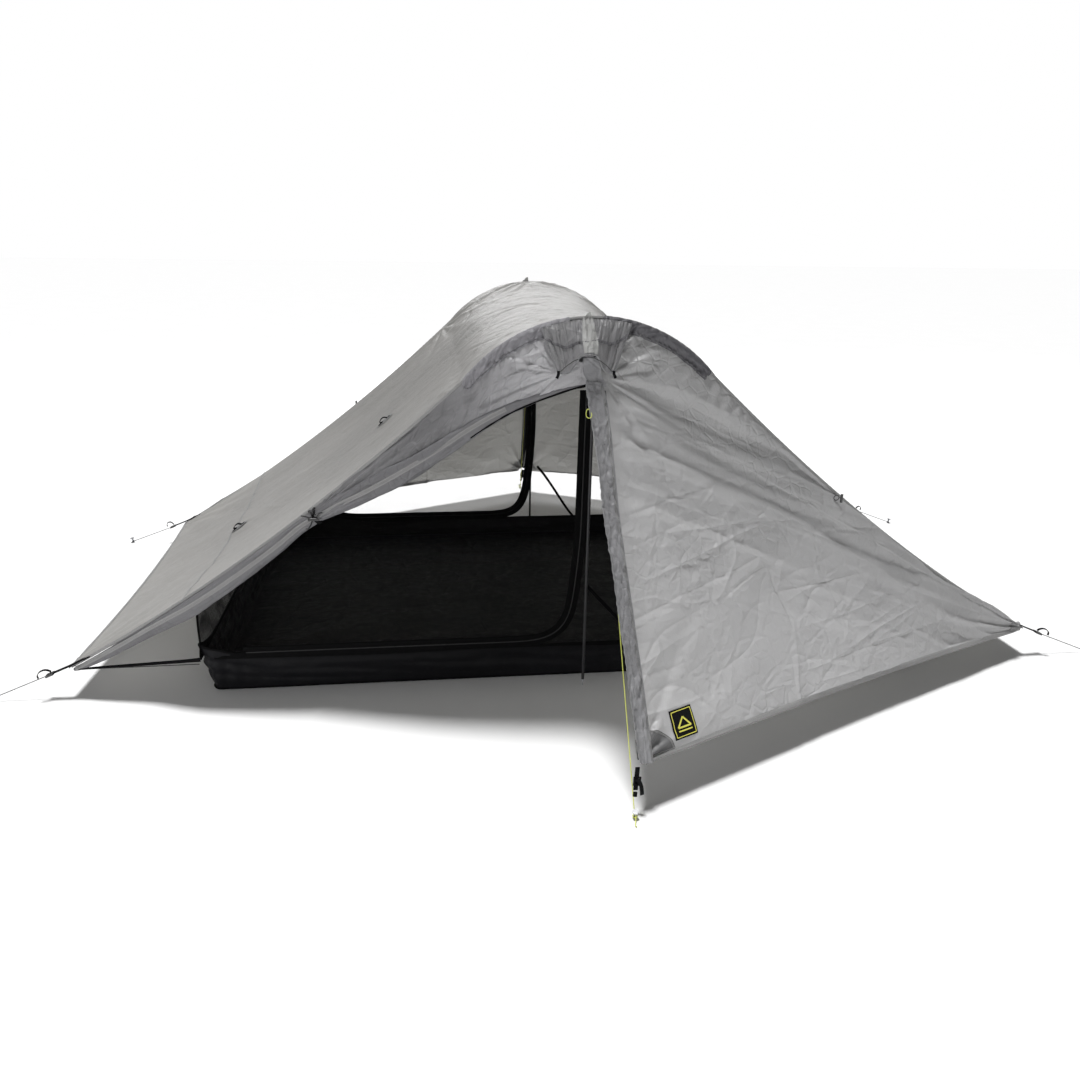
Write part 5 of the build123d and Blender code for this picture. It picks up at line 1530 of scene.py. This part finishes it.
def build_side_net(side, name):
    def place(x, z, off):
        shift, drop = 0, 0
        if side > 0:    # the slack far wall sinks, and its zip drifts along it
            drop = 0.043 * smooth01((0.31 - z) / 0.18) * smooth01((1.08 - np.abs(x)) / 0.3)
            shift = (0.012 * smooth01((0.92 - z) / 0.12) * smooth01((x + 0.35) / 0.25)
                     * smooth01((0.30 - x) / 0.2))
        return stack(x + shift, side * (net_y(z) + off), z - drop)

    def relief(x, z, dist):
        return smooth01(dist / 0.06) * (0.0045 * noise(x * 4.2, z * 2.6, 601 + side)
                                        + 0.0022 * noise(x * 13, z * 9, 603 + side) - 0.002)
    door_body = f"{name}_mesh_door"
    wall = outline_sheet(f"netting_{name}", NET_OUTLINE, place, NET, step=0.032,
                         relief=relief, holes=[NET_DOOR])
    if side < 0:
        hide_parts("mesh_walls")
    door = outline_sheet(f"netting_door_{name}", NET_DOOR, place, NET, step=0.030,
                         relief=relief, body=door_body)
    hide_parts(f"{name}_mesh_door_panel")

    # zip bands round the curved opening, one on each side of the zip line
    line = densify(NET_ZIP_LINE, 0.008)
    for _ in range(30):
        line[1:-1] = 0.5 * line[1:-1] + 0.25 * (line[:-2] + line[2:])
    tangent = unit(np.gradient(line, axis=0))
    sideways = stack(tangent[:, 1], -tangent[:, 0])
    out = (0, side, 0.04)
    # tag, offset from the zip line, body, width, points dropped at the start and the end
    for tag, offset, body, width, skip, cut in (
            ("fixed", -0.0095, "tent", 0.0185, 0, 0),
            ("door", 0.0100, door_body, 0.0175, 3, 5)):
        band = (line + sideways * offset)[skip:len(line) - cut]
        lift = 0.0014 + 0.0008 * noise(lengths(band) * 11, offset * 100, 611)
        strip = ribbon(f"zip_band_{name}_{tag}", place(band[:, 0], band[:, 1], lift), out, BIND,
                       width=width, lift=0.0012, body=body, both=True,
                       edge=lambda s, c: 0.0010 * np.sin(s * 70 + 3 * np.sin(s * 11)) * c)
        if tag == "door":
            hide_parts(f"{name}_mesh_door_tape")
        elif side < 0:
            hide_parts("mesh_tapes")
    coil = (line + sideways * -0.0002)[4:-6]
    ribbon(f"zip_coil_{name}", place(coil[:, 0], coil[:, 1], 0.0030), out, NET_ZIP,
           width=0.0040, lift=0.0012, across=7)
    # slanting tape from the band down to the tub
    t = np.linspace(0, 1, 40)
    ribbon(f"corner_tape_{name}", place(0.018 + 0.182 * t, 0.318 - 0.205 * t, 0.0016), out,
           BIND, width=0.011, lift=0.0010, both=True)
    # band along the bottom of the netting, at the tub
    x = np.linspace(-1.128, 1.128, 260)
    ribbon(f"net_hem_{name}", place(x, 0.115 + 0.0015 * noise(x * 4, 0, 640), 0.0012), out,
           BIND, width=0.010, lift=0.0009, both=True)
    # bound upper edge, from the middle out to each end
    for tag, end in (("l", -1), ("r", 1)):
        half = NET_ARC[5::-1] + NET_SLOPE[::-1]
        x, z = np.array([(end * abs(x), z) for x, z in half]).T
        ribbon(f"net_top_{name}_{tag}", spline(stack(x, side * net_y(z), z - 0.004), 160), out,
               BIND, width=0.008, lift=0.0008, both=True)


for side, side_name in SIDES:
    build_side_net(side, side_name)


# ------------------------------------------------------------------ end netting
def build_end_net(end, name):
    """Creased netting wall across each end, with a bound edge."""
    outline = [(-0.690, WALL_TOP + 0.002), (0.690, WALL_TOP + 0.002)]
    for share in (0.95, 0.75, 0.5, 0.25, 0, -0.25, -0.5, -0.75, -0.95):
        z = seam_z(END_NET_X) - float(sag(END_NET_X)) * (1 - share * share)
        outline.append((share * 0.700, z - 0.019))

    def place(y, z, off):
        return stack(end * (END_NET_X + 0.0005 + off), y, z)

    def relief(y, z, dist):
        return smooth01(dist / 0.040) * (
            0.016 * noise(y * 3.0, z * 3.2, 651 + end)
            + 0.034 * (crumple(y * 7, z * 9, 653 + end) - 0.42)
            + 0.016 * (crumple(y * 17, z * 19, 654 + end) - 0.42)
            + 0.0045 * noise(y * 17, z * 15, 655 + end))
    outline_sheet(f"netting_end_{name}", outline, place, NET_END, step=0.016, relief=relief)
    trim = densify(outline + outline[:1], 0.012)
    y, z = trim.T
    wave = (0.009 * noise(lengths(trim) * 9, 2, 661 + end)
            * smooth01((z - WALL_TOP - 0.01) / 0.03))
    path = stack(end * (END_NET_X + 0.0008 + 0.8 * wave), y * (1 - 0.6 * np.abs(wave)),
                 z - 0.5 * np.abs(wave))
    ribbon(f"netting_end_trim_{name}", path, (end, 0, 0), BIND, width=0.012, lift=0.0012,
           both=True)


for end, end_name in ENDS:
    build_end_net(end, end_name)

# ------------------------------------------------------------------ corner webbing
# Right far corner; mirrored to the others.
CORNER_TAB = [(1.492, 0.683, 0.131), (1.520, 0.682, 0.1185), (1.548, 0.6815, 0.104),
              (1.575, 0.683, 0.0925), (1.606, 0.6846, 0.0800)]
TUB_STRAP = [(1.172, 0.6955, 0.108), (1.230, 0.6955, 0.105), (1.340, 0.6935, 0.100),
             (1.450, 0.691, 0.095), (1.532, 0.690, 0.091)]
TENSIONER_TAIL = [(1.612, 0.685, 0.083), (1.619, 0.688, 0.0895), (1.629, 0.692, 0.0925),
                  (1.640, 0.696, 0.0885), (1.646, 0.699, 0.079), (1.644, 0.700, 0.070)]


def build_corner(end, side):
    tag = ("r" if end > 0 else "l") + ("n" if side < 0 else "f")
    mirror = np.array([end, side, 1])
    tab = ribbon(f"corner_tab_{tag}", spline(CORNER_TAB, 40) * mirror, (0.35 * end, 0, 0.93),
                 WEB, width=0.018, lift=0.0008, both=True)
    if tag == "ln":
        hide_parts("canopy_webbing")
    # flat strap from the tub corner out to the canopy corner
    t = np.linspace(0, 1, 90)
    ribbon(f"tub_strap_{tag}", spline(TUB_STRAP, 90) * mirror,
           stack(0.2 * end, side * (0.9 - 0.4 * t), 0.35 + 0.3 * t), WEB,
           width=0.0125 - 0.0065 * t, lift=0.0008, both=True)
    bent_tape(f"tensioner_tail_{tag}", spline(TENSIONER_TAIL, 34) * mirror,
              (0.15 * end, 1.0, 0.1), width=0.0085, lift=0.0006)


for end, _ in ENDS:
    for side, _ in SIDES:
        build_corner(end, side)

# ------------------------------------------------------------------ tie-out loops on the roof
# distance along the roof, height above it
TIE_OUT_SHAPE = [(-0.026, 0.0010), (-0.014, 0.0014), (-0.009, 0.006), (-0.003, 0.0115),
                 (0.007, 0.0125), (0.016, 0.0095), (0.016, 0.005), (0.010, 0.0018),
                 (0.030, 0.0016)]


def build_tie_out(end, loop_x):
    tag = f"{'r' if end > 0 else 'l'}_{int(loop_x * 1000)}"
    base, nrm = on_roof(end * loop_x, 0.0)
    along = unit(on_roof(end * (loop_x + 0.02), 0.0)[0] - base)
    path = spline([base + along * run + nrm * lift for run, lift in TIE_OUT_SHAPE], 50)
    bent_tape(f"tie_out_loop_{tag}", path, (0, 1.0, 0), width=0.016, lift=0.0007)
    # small oval patch under the loop
    across, down = np.meshgrid(np.linspace(-1, 1, 15), np.linspace(-1, 1, 15), indexing="ij")
    radius = np.maximum(np.abs(across), np.abs(down))
    angle = np.arctan2(down, across)
    x = base[0] + radius * np.cos(angle) * 0.030
    y = radius * np.sin(angle) * 0.026
    points = stack(x, y, base[2] + (x - base[0]) * along[2] / along[0]) + nrm * 0.0016
    sheet(f"tie_out_patch_{tag}", points, stack(x, y), PATCH)


for end, _ in ENDS:
    for loop_x in TIE_OUT_X:
        build_tie_out(end, loop_x)

# ------------------------------------------------------------------ cords and straps
VEST_TAIL = [(0.0253, 1.437, 0.016), (0.0235, 1.446, 0.009), (0.0215, 1.454, 0.0035),
             (0.019, 1.462, 0.0022), (0.0205, 1.470, 0.0022)]
VEST_STRAP_TAIL = [(0.0310, 1.3985, 0.088), (0.0350, 1.4070, 0.090), (0.0400, 1.4130, 0.080),
                   (0.0430, 1.4140, 0.064), (0.0450, 1.4110, 0.050)]
for side, name in SIDES:
    rope(f"vest_tail_{name}", spline(VEST_TAIL, 40) * (1, side, 1), 0.0012, YELLOW_CORD)
for side, name in SIDES:
    bent_tape(f"vest_strap_tail_{name}", spline(VEST_STRAP_TAIL, 30) * (1, side, 1),
              (1.0, 0.1, 0.1), width=0.010, lift=0.0006, body=f"{name}_right_door")

# Cord pulls of the fly sliders: distance down the zip from the slider, offset across it.
PULL_LOOP = [(0, 0), (0.010, 0.002), (0.022, 0.0035), (0.034, 0.001), (0.022, -0.0025),
             (0.010, -0.0015), (0, 0)]
for name, panel in (("near", NEAR_DOOR), ("far", FAR_DOOR)):
    low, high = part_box(f"{name}_fly_slider")
    down = panel.zip_dir_3d
    sideways = unit(np.cross(down, panel.out))
    start = (np.array(low) + np.array(high)) / 2 + down * 0.018
    loop = [start + down * run + sideways * off for run, off in PULL_LOOP]
    rope(f"{name}_fly_slider_pull", spline(loop, 48), 0.0008, YELLOW_CORD,
         f"{name}_fly_zip_slider", sides=8)

# far zip seen from inside the tent
for name, off, width, mat, lift in (("far_zip_inner", 0.010, 0.026, BIND, -0.004),
                                    ("far_zip_inner_coil", 0.002, 0.005, NET_ZIP, -0.0065)):
    run = np.linspace(0.02, FAR_DOOR.zip_len - 0.015, 240)
    ribbon(name, on_plane(FAR_DOOR, run, off, lift + 0.0012 * np.sin(run * 21)),
           -FAR_DOOR.out, mat, width=width, lift=0.0010, body="far_right_door", both=True)


def build_tie():
    """Wide band wrapped round the tied roll, with a knot and three tails."""
    wrap, nrm = on_roll(ROLL.tie, np.linspace(0, 2 * np.pi, 90),
                        ROLL.radius[ROLL.tie] * 1.16 + 0.0012)
    ribbon("tie_wrap", wrap, nrm, WEB, width=0.013, lift=0.0022, both=True)
    base, out = wrap[24], nrm[24]
    along = unit(ROLL.tangent[ROLL.tie])
    sideways = unit(np.cross(along, out))
    t = np.linspace(0, 2 * np.pi, 120)[:, None]
    knot = (base + out * 0.004 + (0.0075 * (np.sin(t) + 0.7 * np.sin(2 * t))) * along
            + (0.0075 * (np.cos(t) - 0.7 * np.cos(2 * t))) * sideways
            + (0.0035 * np.sin(3 * t)) * out)
    rope("tie_knot", knot, 0.0032, BLACK_CORD)
    toggle = np.array(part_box("near_left_toggle")).mean(0)
    for i, (dx, dz) in enumerate(((-0.022, 0.012), (0.018, 0.020), (-0.014, -0.024))):
        tail = [base, toggle + (dx * 0.4, 0.003, dz * 0.4), toggle + (dx, -0.006, dz),
                toggle + (dx * 1.5, -0.004, dz * 1.1)]
        rope(f"tie_tail_{i}", spline(tail, 26), 0.0022, BLACK_CORD, sides=8)


build_tie()

# ------------------------------------------------------------------ solids that stay
SOLIDS = (
    (PLASTIC, "pole_cups corner_tensioners spare_toggles near_left_toggle "
              "near_vent_stiffener far_vent_stiffener"),
    (BLACK_CORD, "corner_guylines elastic_cords near_pole_cord far_pole_cord"),
    (YELLOW_CORD, "apex_guylines"),
    (WEB_SOLID, "near_door_strap far_door_strap"),
    (FLY_ZIP, "near_fly_zip_tape far_right_zip_tape far_left_zip_tape"),
    (SLIDER, "near_fly_slider far_fly_slider near_mesh_slider far_mesh_slider"),
    (TUBE, "near_pole_tubes far_pole_tubes near_strut_tubes far_strut_tubes"),
    (ALLOY, "near_pole_ferrules far_pole_ferrules near_pole_ends far_pole_ends "
            "near_strut_fittings far_strut_fittings"),
    (STAKE, " ".join(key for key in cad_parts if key.startswith("stake_"))),
)
ROUNDED = ("corner_tensioners near_door_strap far_door_strap near_fly_slider far_fly_slider "
           "near_mesh_slider far_mesh_slider spare_toggles near_left_toggle pole_cups").split()
for mat, keys in SOLIDS:
    for key in keys.split():
        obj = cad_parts[key]
        obj.data.materials.clear()
        obj.data.materials.append(mat)
        if key in ROUNDED:
            bevel = obj.modifiers.new("edge", "BEVEL")
            bevel.width = 0.0007
            bevel.segments = 3
            bevel.limit_method = "ANGLE"
            bevel.angle_limit = math.radians(35)


# ------------------------------------------------------------------ floor, light, camera
def build_floor():
    sh = Shader("pale_floor")
    cloudy = sh.noise(sh.object_space(), 3.0, detail=3.0)
    color = sh.mix(cloudy, (0.90, 0.90, 0.90), (0.93, 0.93, 0.93))
    surface = sh.add("BsdfPrincipled", {"Base Color": color, "Roughness": 0.85})
    mat = sh.finish(surface.outputs[0])
    half, z = 30, -0.0012
    mesh = bpy.data.meshes.new("floor")
    mesh.from_pydata([(-half, -half, z), (half, -half, z), (half, half, z), (-half, half, z)],
                     [], [(0, 1, 2, 3)])
    mesh.materials.append(mat)
    floor = bpy.data.objects.new("floor", mesh)
    scene.collection.objects.link(floor)


def build_world():
    """White behind the tent, but only faint light from the sky."""
    world = bpy.data.worlds.new("studio")
    scene.world = world
    world.use_nodes = True
    nodes, links = world.node_tree.nodes, world.node_tree.links
    ambient = nodes["Background"]
    backdrop = nodes.new("ShaderNodeBackground")
    for node, strength in ((ambient, 0.09), (backdrop, 1.0)):
        node.inputs[0].default_value = (1, 1, 1, 1)
        node.inputs[1].default_value = strength
    mix = nodes.new("ShaderNodeMixShader")
    links.new(nodes.new("ShaderNodeLightPath").outputs["Is Camera Ray"], mix.inputs[0])
    links.new(ambient.outputs[0], mix.inputs[1])
    links.new(backdrop.outputs[0], mix.inputs[2])
    links.new(mix.outputs[0], nodes["World Output"].inputs[0])


def sun(name, direction, strength, degrees):
    """Large soft source far away; direction points from the tent to the light."""
    light = bpy.data.lights.new(name, "SUN")
    light.energy = strength
    light.angle = math.radians(degrees)
    obj = bpy.data.objects.new(name, light)
    obj.rotation_euler = Vector(direction).to_track_quat("Z", "Y").to_euler()
    scene.collection.objects.link(obj)


def area(name, loc, target, size, power):
    light = bpy.data.lights.new(name, "AREA")
    light.shape = "RECTANGLE"
    light.size, light.size_y = size
    light.energy = power
    obj = bpy.data.objects.new(name, light)
    obj.location = loc
    obj.rotation_euler = (Vector(target) - Vector(loc)).to_track_quat("-Z", "Y").to_euler()
    scene.collection.objects.link(obj)


def build_camera(place, yaw, pitch, roll, lens):
    """Yaw turns from +Y towards +X; angles in radians, lens in mm."""
    camera = bpy.data.cameras.new("camera")
    camera.sensor_width = 36
    camera.sensor_fit = "HORIZONTAL"
    camera.lens = lens
    camera.clip_start = 0.05
    camera.clip_end = 200
    obj = bpy.data.objects.new("camera", camera)
    forward = np.array([math.sin(yaw) * math.cos(pitch), math.cos(yaw) * math.cos(pitch),
                        math.sin(pitch)])
    level = np.array([math.cos(yaw), -math.sin(yaw), 0])
    upright = np.cross(level, forward)
    right = math.cos(roll) * level + math.sin(roll) * upright
    up = -math.sin(roll) * level + math.cos(roll) * upright
    rows = [(right[i], up[i], -forward[i], place[i]) for i in range(3)]
    obj.matrix_world = Matrix(rows + [(0, 0, 0, 1)])
    scene.collection.objects.link(obj)
    scene.camera = obj


build_floor()
build_world()
sun("top_key", direction=(-0.08, 0.20, 0.975), strength=3.35, degrees=11)
area("front_left", loc=(-3.2, -3.6, 0.52), target=(0.6, -1.0, 0.5), size=(1.2, 0.5), power=56)
area("front_low", loc=(1.8, -4.0, 0.40), target=(0.8, -1.1, 0.40), size=(1.6, 0.4), power=20)
area("back_sheen", loc=(0.3, 6.2, 3.0), target=(-0.1, 0.0, 0.9), size=(4.0, 1.4), power=150)
build_camera((-0.447, -3.1794, 1.3807), yaw=0.1269, pitch=-0.3492, roll=0.0168,
             lens=29.0056667)
scene.view_settings.view_transform = "Standard"
